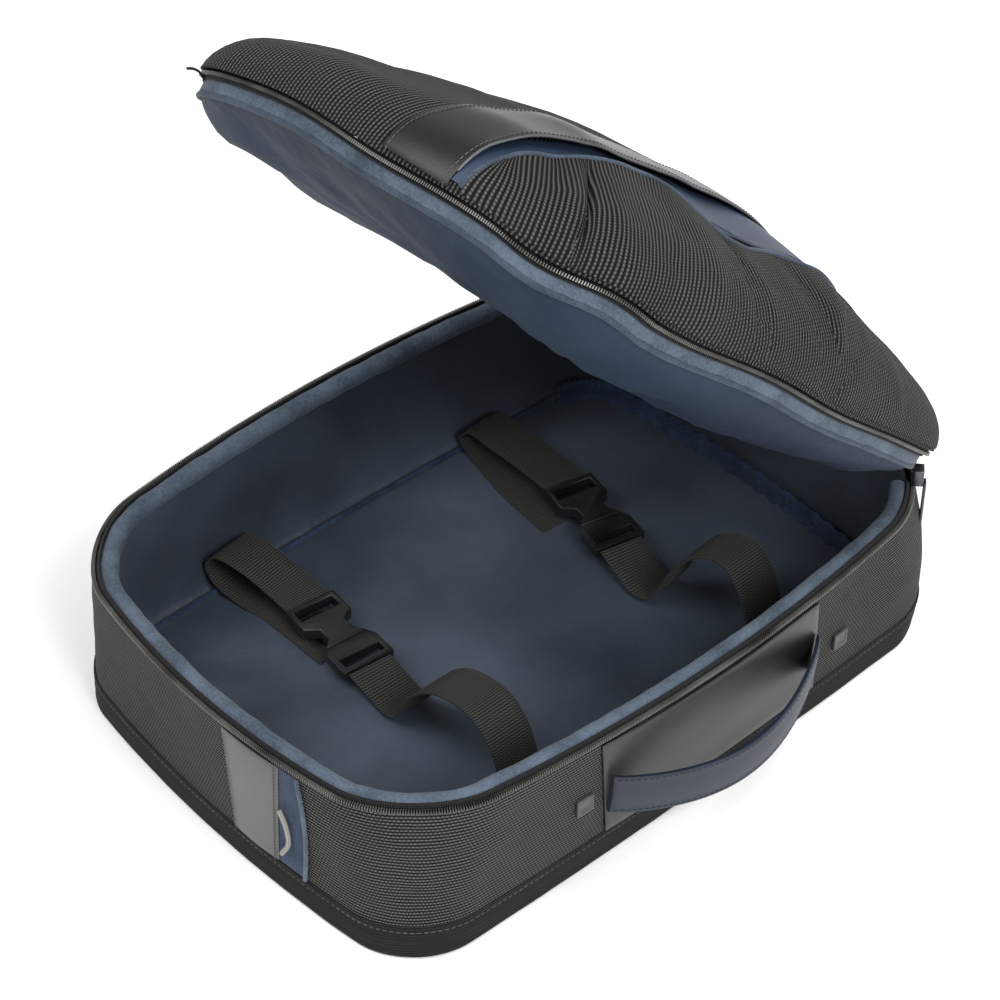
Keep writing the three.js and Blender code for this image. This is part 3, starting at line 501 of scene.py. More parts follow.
# %% [markdown]
# ### Ballistic nylon
#
# The bag's cloth is a ballistic weave: thick yarns lie in rows, each row of floats stepped half a
# float from the last. Seen from a distance the rows read as pale ribs over a dark ground. The ribs
# are about 2.5 mm apart on the walls and 2.9 mm on the lid, as in the photograph.

# %% Ballistic nylon
def ballistic_nylon(name, dark, light, rib_mm, float_mm, along_v=True, strength=0.7):
    material, shader = new_material(name, 0.7, Specular_IOR_Level=0.12)
    u, v = uv_parts(material)
    across, along = (v, u) if along_v else (u, v)
    sway = object_noise(material, 22.0)
    across = math_node(material, "MULTIPLY_ADD", sway, 0.004, across)
    rib = wave(material, across, rib_mm)
    row = math_node(material, "FLOOR", math_node(material, "DIVIDE", across, rib_mm * MM))
    stepped = math_node(material, "MULTIPLY", row, math.pi)
    floats = wave(material, along, float_mm, stepped)
    floats = math_node(material, "MULTIPLY_ADD", floats, 0.55, 0.45)
    height = math_node(material, "MULTIPLY", rib, floats)
    shade = object_noise(material, 9.0, 3.0)
    tone = math_node(material, "ADD", height, math_node(material, "MULTIPLY_ADD", shade, 0.35, -0.17))
    # Colour follows the ribs' height: pale on the floats' tops and near black between rows, painted light
    # and shade over the real relief
    color = ramp(material, tone, [(0.22, dark), (0.85, light)])
    connect(material, shader, color, height, 0.0006, strength)
    return material


WALL_NYLON = ballistic_nylon("Ballistic nylon walls", "#0a0a0a", "#666664", 2.5, 2.4, strength=1.6)
LID_NYLON = ballistic_nylon("Ballistic nylon lid", "#070707", "#565654", 2.9, 2.3, along_v=False,
                            strength=1.6)
WELT_NYLON = ballistic_nylon("Plain nylon welt", "#111111", "#2e2e2e", 1.6, 1.8, strength=0.4)


# %% [markdown]
# ### Satin lining, bindings, leather, webbing, plastics
#
# The lining is a thin polyester satin, so it shines softly along its folds. The bindings are a
# heathered knit. The leather is full-grain with a fine pebble, and the webbing is a nylon twill with
# a rib every 2 mm.

# %% Cloth and leather
def satin(name, dark, light, roughness=0.42, sheen=0.25, specular=0.3):
    material, shader = new_material(name, roughness, Specular_IOR_Level=specular, Sheen_Weight=sheen,
                                    Sheen_Roughness=0.4)
    broad = object_noise(material, 6.0, 3.0)
    color = ramp(material, broad, [(0.3, dark), (0.72, light)])
    crease = object_noise(material, 28.0, 4.0, 0.6)
    weave = object_noise(material, 900.0, 1.0)
    height = math_node(material, "MULTIPLY_ADD", weave, 0.06, crease)
    connect(material, shader, color, height, 0.006, 0.4)
    return material


def heathered(name, dark, light):
    material, shader = new_material(name, 0.85, Specular_IOR_Level=0.15, Sheen_Weight=0.1)
    fine = object_noise(material, 520.0, 3.0, 0.7)
    broad = object_noise(material, 40.0, 2.0)
    tone = math_node(material, "MULTIPLY_ADD", broad, 0.5, math_node(material, "MULTIPLY", fine, 0.5))
    color = ramp(material, tone, [(0.36, dark), (0.64, light)])
    connect(material, shader, color, fine, 0.0006, 0.5)
    return material


def grained_leather(name, dark, light, roughness):
    material, shader = new_material(name, roughness, Specular_IOR_Level=0.4, Coat_Weight=0.05,
                                    Coat_Roughness=0.35)
    where = node(material, "ShaderNodeTexCoord", output=3)
    pebble = node(material, "ShaderNodeTexVoronoi", {"Vector": where, "Scale": 620.0},
                  feature="DISTANCE_TO_EDGE")
    broad = object_noise(material, 14.0, 4.0)
    color = ramp(material, broad, [(0.3, dark), (0.7, light)])
    height = math_node(material, "MINIMUM", pebble, 0.25)
    rough = math_node(material, "MULTIPLY_ADD", broad, 0.18, roughness - 0.09)
    connect(material, shader, color, height, 0.0005, 0.25, rough)
    return material


def ribbed_webbing(name, dark, light, pitch):
    material, shader = new_material(name, 0.75, Specular_IOR_Level=0.15, Sheen_Weight=0.05)
    u, v = uv_parts(material)
    zigzag = math_node(material, "MULTIPLY", wave(material, v, 4.0), 1.6)
    rib = wave(material, u, pitch, zigzag)
    yarn = wave(material, v, 1.6)
    height = math_node(material, "MULTIPLY_ADD", yarn, 0.4, math_node(material, "MULTIPLY", rib, 0.6))
    # Colour follows the ribs' height: the light on the ribs and the shade between them are painted, over
    # the real relief
    color = ramp(material, height, [(0.2, dark), (0.85, light)])
    connect(material, shader, color, height, 0.0006, 0.6)
    return material


def moulded(name, dark, light, roughness, metallic=0.0, grain=700.0):
    material, shader = new_material(name, roughness, metallic)
    fine = object_noise(material, grain, 2.0)
    broad = object_noise(material, 30.0, 2.0)
    color = ramp(material, broad, [(0.3, dark), (0.7, light)])
    rough = math_node(material, "MULTIPLY_ADD", fine, 0.16, roughness - 0.08)
    connect(material, shader, color, fine, 0.0002, 0.15, rough)
    return material


LINING = satin("Polyester satin lining", "#252c36", "#4a5461")
# A darker copy of the lining's satin, with less sheen and specular: it paints the shade on the lid's
# down-turned underside
SHADED_LID_LINING = satin("Polyester satin lid lining in painted shade", "#182231", "#273548", 0.6, 0.02, 0.12)
BINDING = heathered("Heathered knit binding", "#36404b", "#586472")
HEM_CLOTH = heathered("Navy satin hem", "#28303b", "#414c5a")
POCKET_CLOTH = grained_leather("Navy coated pocket cloth", "#1a2434", "#2a3850", 0.5)
NAVY_CLOTH = heathered("Navy plain-weave facing", "#1a2433", "#35455f")
BLACK_LEATHER = grained_leather("Black full-grain leather", "#111112", "#1e1e1f", 0.36)
BAND_LEATHER = grained_leather("Black polished leather", "#040404", "#080808", 0.34)
PATCH_LEATHER = grained_leather("Grey brushed leather patch", "#474747", "#5c5c5b", 0.5)
NAVY_LEATHER = grained_leather("Navy full-grain leather", "#101724", "#1a2434", 0.5)
WEBBING = ribbed_webbing("Nylon twill webbing", "#080808", "#40403e", 2.0)
ZIP_TAPE = ribbed_webbing("Woven zip tape", "#090909", "#262627", 1.4)
ZIP_COIL = moulded("Nylon zip coil", "#2f2f2e", "#5f5f5c", 0.3)
THREAD = moulded("Bonded polyester thread", "#2a2a2a", "#4c4c4a", 0.6, grain=1500.0)
NAVY_THREAD = moulded("Navy bonded thread", "#141b28", "#232c3c", 0.6, grain=1500.0)
GREY_CORD = ribbed_webbing("Grey braided cord", "#6f6f6c", "#a8a8a3", 1.2)
ACETAL = moulded("Moulded acetal", "#0d0d0e", "#1b1b1c", 0.34)
GUNMETAL = moulded("Gunmetal plated zinc", "#3b3b3e", "#6b6b70", 0.3, 0.9, 300.0)
BLACK_METAL = moulded("Black lacquered rivet", "#39393a", "#4c4c4d", 0.35, 0.3, 300.0)
# Pale grey that paints the highlight along the leather band's black edge
BAND_EDGE_HIGHLIGHT = moulded("Pale painted highlight on the band's edge", "#3b3b3b", "#58585a", 0.4)
print("materials", len(bpy.data.materials))

# %% [markdown]
# ## The tray
#
# Cloth is never quite even. Vertex noise from a seeded function is the same on each run, where a
# texture that is displaced by hand would not be.

# %% Stations and small wrinkles
LOOP = [step * 0.25 for step in range(AROUND * 4)]


def wrinkle(point, size, seed=0.0):
    """A soft, seeded unevenness in millimetres for a point."""
    return noise.noise(Vector(point) * (1 / size) + Vector((seed, seed, seed)))


# %% [markdown]
# The back is a foam pad in plain nylon. Sculpting would give a swell by eye; a short cloth simulation
# with pressure inside and its hem pinned gives an even one, which is kept under 4 mm.

# %% Padded back
PAD_HALF_WIDTH, PAD_HALF_LENGTH = 168, 229
HEM_X, HEM_Y, MOST_SWELL, PAD_BOTTOM, PAD_TOP = 0.150, 0.212, 0.004, 0.0004, 0.0118
bpy.ops.mesh.primitive_grid_add(x_subdivisions=60, y_subdivisions=78, size=2)
pad = bpy.context.object
pad.name = "padded_back"
for vertex in pad.data.vertices:
    # The square grid bows out at its sides and is drawn in at its corners, as the base is
    x, y = vertex.co.x, vertex.co.y
    corner = 1 - 0.12 * (abs(x) * abs(y)) ** 3
    out_x = x * PAD_HALF_WIDTH * corner * (1 + 0.06 * (1 - y * y) * abs(x))
    out_y = y * PAD_HALF_LENGTH * corner * (1 + 0.07 * (1 - x * x) * abs(y))
    vertex.co = Vector((out_x, out_y, 6)) * MM
apply_modifier(pad, "SOLIDIFY", thickness=6 * MM, offset=0)
group = pad.vertex_groups.new(name="hem")
hem = [v.index for v in pad.data.vertices if abs(v.co.x) > HEM_X or abs(v.co.y) > HEM_Y]
group.add(hem, 1.0, "REPLACE")
rest = [v.co.copy() for v in pad.data.vertices]
cloth = pad.modifiers.new("Cloth", "CLOTH")
cloth.settings.use_pressure = True
cloth.settings.uniform_pressure_force = 3
cloth.settings.vertex_group_mass = "hem"
cloth.settings.effector_weights.gravity = 0
for step in range(1, 13):
    bpy.context.scene.frame_set(step)
select_only(pad)
bpy.ops.object.modifier_apply(modifier="Cloth")
for vertex, start in zip(pad.data.vertices, rest):
    moved = vertex.co - start
    if moved.length > MOST_SWELL:
        moved *= MOST_SWELL / moved.length
    vertex.co = start + moved
bpy.context.scene.frame_set(1)
low = min(v.co.z for v in pad.data.vertices)
for vertex in pad.data.vertices:
    vertex.co.z = min(max(vertex.co.z - low, PAD_BOTTOM), PAD_TOP)
finish_piece(pad, WELT_NYLON, "ribbed_cloth", "back_panel")

# %% [markdown]
# The welt is a strip of plain nylon folded round a cord, sewn where the wall meets the back. It
# could be a curve with a bevel object, but a section carried round the outline follows the wall's
# lean and takes its noise.

# %% Welt: a folded band with a piped upper edge
# The welt's section, as pairs of inset and height
WELT_PROFILE = [(3.8, 0.2), (1.5, 0.2), (0.3, 1.6), (0, 4), (0.6, 7), (0, 9.5), (0.5, 12), (-0.2, 14.5),
                (0.5, 17), (0.1, 19.5), (0.9, 22), (0.6, 23.2), (-0.3, 24.3), (-0.3, 26), (0.7, 27.2),
                (2, 27.4), (3.8, 27)]


def welt_section(station):
    section = []
    for inset, z in WELT_PROFILE:
        point = tray_point(station, z, inset)
        section.append(tray_point(station, z, inset - 0.35 * wrinkle(point, 30)))
    return section


welt = loft_object("welt_band", [welt_section(s) for s in LOOP], closed=True)
finish_piece(welt, WELT_NYLON, "ribbed_cloth", "base_welt")

# %% [markdown]
# The wall is one long strip with soft buckles near its corners. A closed grid with a UV map in
# metres is chosen, since the weave then keeps its pitch all the way round.

# %% Wall of ballistic nylon
def wall_inset(station, z):
    share = (z - 27) / 90
    point = tray_point(station, z, 0)
    fold = 0.9 * wrinkle((point.x, point.y, z * 2.2), 42, 3.1) + 0.4 * wrinkle(point, 15, 7.7)
    return 1.0 - fold * math.sin(math.pi * clamp(share)) ** 0.6


WALL_LEVELS = spread(26.6, 118.4, 26)
wall_rows = [[tray_point(s, z, wall_inset(s, z)) for z in WALL_LEVELS] for s in LOOP]
wall = grid_object("nylon_wall", wall_rows, wall=2.3, closed=True, offset=-1, flip=True)
finish_piece(wall, WALL_NYLON, "ribbed_cloth", "tray_wall")

# %% [markdown]
# Thread shows as short raised bars. They could be an array on a curve; walking the line at an even
# step gives the same with no modifier left live.

# %% Welt stitches
def out_of_tray(place, _):
    return Vector((place.x / 169 ** 2, place.y / 230 ** 2, 0)).normalized()


stitch_line = [tray_point(s, 22.6, -0.2) for s in spread(0, AROUND, 400)]
welt_stitch = repeated("welt_stitching", walk(stitch_line, 4.2), (2.9, 0.7, 0.7), out_of_tray)
finish_piece(welt_stitch, THREAD, "binding_tape")

# %% [markdown]
# ## The lining and its trim
#
# The lining is one satin sheet: floor, rounded foot and wall. It is a little larger than the bag,
# so it lies in broad, shallow folds. It is built as a sheet whose folds come from seeded noise.

# %% Satin lining
def lining_point(station, inset, z):
    point = tray_point(station, max(z, 0), inset)
    floor_share = smooth((inset - 7) / 20)
    lift = 1.5 * wrinkle(point, 70, 1.3) + 0.7 * wrinkle(point, 26, 9.2)
    lift = lift * floor_share * 0.6
    creases = 2.6 * wrinkle((point.x * 1.6, point.y * 1.6, point.z * 0.8), 40, 5.5) * (1 - floor_share)
    creases += 1.2 * wrinkle((point.x, point.y, point.z * 2), 18, 2.5) * (1 - floor_share)
    out = tray_point(station, max(z, 0), inset + max(creases, -0.8))
    out.z = z + max(lift, -0.2)
    return out


LINING_ROWS = [(6.6, 113), (6.7, 104), (6.9, 92), (7, 80), (7, 68), (7, 56), (7, 44), (7, 34), (7.2, 26),
               (8.2, 19), (10.4, 14.8), (14, 12.7), (20, 12.2)]
FLOOR_SHARES = spread(0, 1, 16)[1:]


def floor_point(station, share):
    """From the foot of the wall to a spine along the middle of the floor."""
    foot = lining_point(station, 20, 12.2)
    spot = Vector((foot.x * (1 - share), foot.y * (1 - 0.62 * share), 0))
    folds = 4.2 * wrinkle(spot, 75, 1.3) + 1.6 * wrinkle((spot.x * 1.6, spot.y * 0.8, 0), 30, 9.2)
    spot.z = 12.4 + max(folds, -0.3) * smooth(share * 4) * smooth((abs(spot.x) + 20) / 30)
    return spot


lining_rows = [[lining_point(s, inset, z) for inset, z in LINING_ROWS]
               + [floor_point(s, t) for t in FLOOR_SHARES] for s in LOOP]
lining = round_sheet("satin_lining", lining_rows, 1.1)
finish_piece(lining, LINING, "lining_satin", "tray_lining")

# %% [markdown]
# A thin cord covers the seam between the floor and the wall. It is a tube along the outline,
# because a round section is all that shows of it.

# %% Piping over the floor seam
piping_line = [tray_point(s, 15.2, 15.6) for s in LOOP]
tube("floor_seam_piping", piping_line + piping_line[:1], 2.1, NAVY_CLOTH, "binding_tape", "floor_piping")

# %% [markdown]
# A nylon coil reads as small dashes at 1.6 mm. A textured strip would be cheaper but flat from the
# side, so each tooth is a small solid block, and the tape beside it is a bent strip.

# %% Zip coils: one tooth, copied along the line
TOOTH_PITCH, TOOTH_SIZE = 1.6, (0.95, 3.0, 2.6)
ZIP_STATIONS = spread(ZIP_START, ZIP_END, 900)


def teeth(name, line, up):
    return repeated(name, walk(line, TOOTH_PITCH), TOOTH_SIZE, lambda place, along: up)


tray_teeth = teeth("tray_zip_teeth", [tray_point(s, RIM, 2.1) for s in ZIP_STATIONS], Vector((0, 0, 1)))
finish_piece(tray_teeth, ZIP_COIL, "zip_coil", "tray_zip_coil")


def trim(name, profile, place, material, slot, replaced, count=300):
    """A profile carried along the zip's line and finished."""
    piece = loft_object(name, [[place(s, inset, z) for inset, z in profile]
                               for s in spread(ZIP_START, ZIP_END, count)])
    finish_piece(piece, material, slot, replaced)


TAPE_PROFILE = [(4.3, 112), (4.2, 119), (4.7, 121.4), (6.2, 122.4), (6.8, 121.8), (5.5, 119.4), (5.3, 112)]
trim("tray_tape", TAPE_PROFILE, lambda station, inset, z: tray_point(station, z, inset),
     ZIP_TAPE, "zip_tape", "tray_zip_tape")

# %% [markdown]
# The rim is a padded roll in a heathered knit. A ring of points is carried along the rim and swells
# a little with noise, which a bevelled curve can't do.

# %% Rolled binding round the rim
ROLL_INSET = 12.0


def roll_place(station, inset, z):
    middle = Vector((ROLL_INSET, 115.4))
    away = Vector((inset, z)) - middle
    base = tray_point(station, z, inset)
    swell = 1 + 0.09 * wrinkle(base, 9, 2.2) + 0.07 * wrinkle((base.x, base.y, 0), 22, 6.1)
    away *= swell
    return tray_point(station, middle.y + away.y, middle.x + away.x)


trim("rolled_rim_binding", ring(ROLL_INSET, 116.0, 6.2, 14), roll_place,
     BINDING, "binding_tape", "tray_binding", 420)

# %% [markdown]
# An elastic draws the inner pocket's edge into small ruffles. A cloth simulation would need pins at
# each stitch; a section whose points swing in and out at an even step is steadier and looks the
# same at this size.

# %% Gathered elastic edge of the floor pocket
elastic_rows = []
for index, station in enumerate(spread(-7.5, 7.5, 240)):
    gather = 1.3 * math.sin(index * 1.15) + 0.9 * wrinkle((index * 0.9, 0, 0), 3)
    section = [(19.4, 13), (19, 20), (19.2, 26.5), (20.4 - gather * 0.4, 28), (22 - gather, 27),
               (22.2 + gather, 22), (21.6 - gather, 17), (23 + gather, 13)]
    elastic_rows.append([tray_point(station, z + 0.5 * gather * (z > 25), inset)
                         for inset, z in section])
elastic = loft_object("gathered_edge", elastic_rows)
finish_piece(elastic, NAVY_CLOTH, "navy_cloth", "elastic_edge")

# %% [markdown]
# ## The lid
#
# The shell is one sheet over padding. Its rows run from the zip up to the crown's middle line, where
# they are welded, and its weave follows the edge, as cloth does that is eased over a dome.

# %% Lid shell
SHELL_DEPTHS = [0, 0.6, 2, 4.5, 8, 12.5, 18, 25, 33, 42, 52, 62, 74, 88, 102, 118, 134, 148]


def shell_fold(station, depth):
    point = shell_point(station, depth)
    edge = math.exp(-depth / 10)
    return (0.9 * wrinkle(point, 60, 4.0) + 0.35 * wrinkle(point, 18, 8.0)) * smooth(depth / 12) \
        + 0.5 * edge * wrinkle(point, 12, 1.0) * smooth(depth / 3)


def spine(station, place_of):
    """The point of the middle line, at x = 0, that faces a station of the outline."""
    inner = outline(drawn_in(SHELL_DEPTHS[-1]), station)
    return place_of(0, inner.y * 0.8)


def over_lid(x, y):
    return lid_surface(x, y, ring_depth(x, y))


def shell_row(station):
    """From the zip up over the shoulder to the crown's spine."""
    row = [shell_point(station, d, shell_fold(station, d)) for d in SHELL_DEPTHS]
    return row + [spine(station, over_lid)]


shell = round_sheet("lid_outer_cloth", [shell_row(s) for s in LOOP], 2.2, offset=-1, track=0.2)
finish_piece(shell, LID_NYLON, "ribbed_cloth", "lid_shell")

# %% [markdown]
# The lid's satin is sewn along its edge only, so it hangs. It is one sheet with long creases from
# two layers of noise, closed over the lid's middle line.

# %% Lid lining: a satin sheet that hangs from the foot of its facing
def sag_height(place, depth):
    """A point of the hanging lining over a flat place, with its creases."""
    deepest = LINING_DEPTH * table_value(SAGGING, (HINGE_Y - place.y) / LID_LENGTH)
    height = -10 - (deepest - 10) * roof(max(depth - 5.8, 0))
    crease = 5.0 * wrinkle((place.x * 0.8, place.y * 1.6, 0), 60, 2.7) \
        + 2.2 * wrinkle((place.x * 0.6 + place.y, place.y - place.x, 0), 34, 5.9)
    return lid_place(place.x, place.y, height + crease * smooth((depth - 6) / 25) + 0.8)


def sag_surface(x, y):
    return sag_height(Vector((x, y, 0)), ring_depth(x, y))


SAG_DEPTHS = [5.9, 7, 9, 12, 17, 23, 31, 41, 52, 64, 78, 94, 110, 126, 140, 148]
hanging_rows = [[sag_height(outline(drawn_in(d), s), d) for d in SAG_DEPTHS] + [spine(s, sag_surface)]
                for s in LOOP]
hanging = round_sheet("lid_satin", hanging_rows, 1.1)
# The lid's satin is coloured darker than the tray's, which paints the shade under the lid
finish_piece(hanging, SHADED_LID_LINING, "lining_satin", "lid_lining")

# %% [markdown]
# The lid's edge carries the other half of the zip, its tape, a knit facing and a satin hem. Each is
# a small profile carried along the zip's line, so that all follow the same droop.

# %% Lid zip, tape, facing and binding
def lid_trim_place(station, inset, n):
    place = outline(RIM_SHAPE, station) - outline_normal(RIM_SHAPE, station) * inset
    return lid_place(place.x, place.y, n + ripple(station, 0))


LID_UP = LID_PLACE.to_3x3() @ Vector((0, 0, 1))
lid_teeth = teeth("lid_zip_teeth", [lid_trim_place(s, 0.5, 0) for s in ZIP_STATIONS], LID_UP)
finish_piece(lid_teeth, ZIP_COIL, "zip_coil", "lid_zip_coil")
trim("lid_tape", [(2.4, -3), (2.4, 2.4), (3.4, 2.4), (3.4, -3)], lid_trim_place,
     ZIP_TAPE, "zip_tape", "lid_zip_tape")


TAB_STATION = 18.9
tab_normal = outline_normal(RIM_SHAPE, TAB_STATION)
tab_root = lid_trim_place(TAB_STATION, 2.9, 0)
tab_out = LID_PLACE.to_3x3() @ tab_normal
tab_side = LID_PLACE.to_3x3() @ Vector((0, 0, 1)).cross(tab_normal).normalized()
tab_rows = []
for share in spread(0, 1, 12):
    middle = tab_root + tab_out * 12 * share + LID_UP * (2.5 * math.sin(share * 3) - 3)
    tab_rows.append([middle + tab_side * side * (5 - 1.5 * share) for side in (-1, -0.5, 0, 0.5, 1)])
tab = grid_object("zip_tape_end", tab_rows, wall=1.2)
finish_piece(tab, ZIP_TAPE, "zip_tape")


def facing_place(station, inset, n):
    base = lid_trim_place(station, inset, n)
    return lid_trim_place(station, inset + 0.5 * wrinkle(base, 14, 3.3) * clamp(-n / 10), n)


FACING_PROFILE = [(3.9, 2.4), (3.9, -2), (3.8, -6), (3.9, -10.5), (5.4, -10.5), (5.3, -5), (5.4, 2.4)]
trim("lid_facing_cloth", FACING_PROFILE, facing_place, BINDING, "navy_cloth", "lid_facing")


HEM_INSET, HEM_DROP = 5.4, -11.6


def hem_place(station, inset, n):
    base = lid_trim_place(station, inset, n)
    swell = 1 + 0.16 * wrinkle(base, 8, 5.2)
    return lid_trim_place(station, mix(HEM_INSET, inset, swell), mix(HEM_DROP, n, swell))


trim("lid_hem_binding", ring(HEM_INSET, HEM_DROP, 2.2, 10), hem_place,
     HEM_CLOTH, "binding_tape", "lid_binding", 420)

# %% [markdown]
# The two halves are joined by a strip of the wall's cloth that bulges where it folds. It is a grid
# from the tray's rim to the lid's foot, with its bulge worked out in between.

# %% Gusset of the cloth hinge
gusset_rows = []
for station in spread(ZIP_END - AROUND + 0.6, ZIP_START - 0.6, 70):
    foot, head = tray_point(station, 117.6, 1.4), shell_point(station, 0, -0.6) + Vector((0, -0.5, -0.6))
    row = []
    for share in spread(0, 1, 5):
        point = foot.lerp(head, share)
        bulge = math.sin(share * math.pi) * (1.2 + 1.2 * wrinkle(point, 16))
        row.append(point + outline_normal(RIM_SHAPE, station) * (bulge - 0.8))
    gusset_rows.append(row)
gusset = grid_object("hinge_cloth", gusset_rows, wall=1.6)
finish_piece(gusset, WALL_NYLON, "ribbed_cloth", "hinge_gusset")

# %% [markdown]
# ## Leather band and front pocket
#
# A wide polished strap climbs the free end and runs down the crown. A shrinkwrapped plane slides on
# so round a surface, so each point is set square to the lid, and the edge beside the pocket is
# lifted where the photograph shows it stand off.

# %% Leather band over the end and along the crown
BAND_START, BAND_END, BAND_LENGTH, BAND_UNDER = 24, 73, 372, 2.1
FREE_Y = -(230 + 24)


def crown_place(x, along):
    """Along from 0 to 1 climbs the end's wall, and from 1 to 2 runs down the crown."""
    wanted = SHOULDER * (1 - math.cos(math.radians(mix(3, 82, min(along, 1)))))
    low, high = FREE_Y, 0.0
    for _ in range(20):
        y = (low + high) / 2
        before = y < FREE_Y + 0.1 or ring_depth(x, y) < wanted
        low, high = (y, high) if before else (low, y)
    return Vector((x, mix(low, FREE_Y + BAND_LENGTH, max(along - 1, 0)), 0))


def band_point(across, along):
    return crown_place(mix(BAND_START, BAND_END, across), along)


def on_lid(flat, lift):
    """A point over the lid at x, y, lifted square to the surface."""
    x, y = flat.x, flat.y
    east = over_lid(x + 1, y) - over_lid(x - 1, y)
    north = over_lid(x, y + 1) - over_lid(x, y - 1)
    return over_lid(x, y) + east.cross(north).normalized() * lift


# How far the band's edge beside the pocket stands off, at shares of the bag's length
BAND_LIFTS = [(-0.552, 0), (-0.504, 5.5), (-0.428, 8), (-0.335, 5.5), (-0.096, 5), (0.07, 1),
              (0.26, 0.5)]


def band_lift(across, along):
    place = band_point(across, along)
    return BAND_UNDER + across ** 2.5 * table_value(BAND_LIFTS, place.y / BAG_LENGTH)


BAND_ROWS = spread(0, 1, 14) + spread(1, 2, 44)[1:]
BAND_COLUMNS = [0, 0.04, 0.12, 0.25, 0.4, 0.55, 0.7, 0.82, 0.92, 0.97, 1]


def on_band(across, along, over=0.0):
    return on_lid(band_point(across, along), band_lift(across, along) + over)


band_rows = [[on_band(across, along, 1.3 * math.sin(across * math.pi) * 0.6) for across in BAND_COLUMNS]
             for along in BAND_ROWS]
band = grid_object("leather_crown_band", band_rows, wall=1.7, offset=1)
soften(band, 0.5)
finish_piece(band, BAND_LEATHER, "black_leather", "leather_band")

# %% [markdown]
# The pale line along the band's black edge is a painted highlight. A thin tube in pale grey stands for it,
# with a row of stitches on each side.

# %% Band stitches and the painted highlight on the band's edge
def lid_out(place, _):
    local = LID_PLACE.inverted() @ place
    return (LID_PLACE.to_3x3() @ Vector((local.x / 300, (local.y + 250) / 420, 1))).normalized()


# The tube's pale grey is a painted highlight on the band's black edge
edge_line = [on_band(1.0, along, 1.0) for along in BAND_ROWS[2:-2]]
tube("band_edge_painted_highlight", edge_line, 0.75, BAND_EDGE_HIGHLIGHT, "black_leather", sides=6, up=LID_UP)
stitch_lines = [[on_band(across, along, 2.1) for along in BAND_ROWS] for across in (0.07, 0.93)]
stitching("band_stitching", stitch_lines, 3.6, (2.5, 0.6, 0.6), lid_out, THREAD, "binding_tape")

# %% [markdown]
# The pocket is a loose panel sewn at the zip and open beside the band. Its folds are few and each
# has its place, so they are a table of ridges and dips added to the lift, rather than a simulation
# that would put them elsewhere.

# %% Front pocket with its dart, ridge and pleats
POCKET_START, POCKET_END = FREE_END + 5.16, NEAR_END + 2.2

# The mouth: share of the way along, out from the band, share of the bag's length, lift off the lid
MOUTH = [(0, 9, -0.504, 3.2), (0.05, 9, -0.485, 5.5), (0.12, 9, -0.426, 3.4), (0.2, 13, -0.38, 8),
         (0.27, 15, -0.335, 10), (0.34, 15, -0.261, 10.4), (0.39, 19, -0.213, 8.4), (0.42, 23, -0.196, 6.4),
         (0.455, 35, -0.172, 4.1), (0.5, 62, -0.17, 3.2), (0.55, 50, -0.067, 3.2), (0.62, 57, 0.011, 3.2),
         (0.7, 52, 0.124, 3.2), (0.85, 24, 0.278, 3.2), (1, 6, 0.374, 3.2)]

# Darts, ridges and pleats: place along the mouth, slope towards the zip, width, height
FOLDS = [(0.205, -0.035, 0.007, -5.0), (0.165, -0.02, 0.03, 3.5), (0.25, -0.02, 0.035, 2.5),
         (0.41, 0.0, 0.045, 5.5), (0.485, 0.01, 0.014, -3.0), (0.575, 0.035, 0.014, -4.0),
         (0.625, 0.01, 0.025, 2.5), (0.68, -0.06, 0.016, -4.0), (0.76, -0.03, 0.03, 2.0)]


def mouth_value(along, column):
    """A value of the mouth's table, eased over its neighbours."""
    rows = [(row[0], row[column]) for row in MOUTH]
    return sum(table_value(rows, clamp(along + step * 0.012)) for step in (-2, -1, 0, 1, 2)) / 5


def pocket_place(along, share):
    station = mix(POCKET_START, POCKET_END, along)
    reach = (1 - math.cos(share * math.pi / 2)) ** 0.9
    foot = outline(drawn_in(0.05), station)
    x = mix(foot.x, BAND_END + mouth_value(along, 1), reach)
    y = mix(foot.y, BAG_LENGTH * mouth_value(along, 2), reach)
    depth = max(ring_depth(x, y), 0.05)
    return lid_surface(x, y, depth, ripple(station, depth))


def pocket_lift(along, share):
    belly = math.sin(share * math.pi)
    folds = sum(height * math.exp(-((along - place - slope * (1 - share)) / width) ** 2)
                for place, slope, width, height in FOLDS)
    base = pocket_place(along, share)
    soft = 0.8 * wrinkle(base, 24, 3.0) + 0.5 * wrinkle(base, 11, 6.0)
    return max(mix(BAND_UNDER, mouth_value(along, 3), share ** 1.5) + (folds + soft) * belly ** 0.7, 1.2)


def pocket_point(along, share, extra=0.0):
    """A point of the pocket's cloth, lifted square to the lid."""
    here, stride = pocket_place(along, share), 0.01
    forth = pocket_place(along + stride, share) - pocket_place(along - stride, share)
    up = pocket_place(along, min(share + stride, 1)) - pocket_place(along, share - stride)
    return here + forth.cross(up).normalized() * (pocket_lift(along, share) + extra)


pocket_alongs = [(step / 200) ** 1.15 for step in range(201)]
pocket_rows = [[pocket_point(a, t) for t in spread(0.02, 1, 26)] for a in pocket_alongs]
pocket = grid_object("front_pocket", pocket_rows, wall=1.4)
finish_piece(pocket, LID_NYLON, "ribbed_cloth", "pocket_panel")
mouth_line = [pocket_point(0, t, 0.3) for t in spread(0.1, 0.98, 14)] \
    + [pocket_point(a, 1, 0.3) for a in spread(0.008, 0.99, 150)]
tube("pocket_mouth_binding", mouth_line, 1.7, HEM_CLOTH, "binding_tape", "pocket_binding", up=LID_UP)

# %% [markdown]
# Where the mouth stands open, a smooth coated cloth shows. It is a thin sheet on the lid, from
# under the band to just past the mouth's edge.

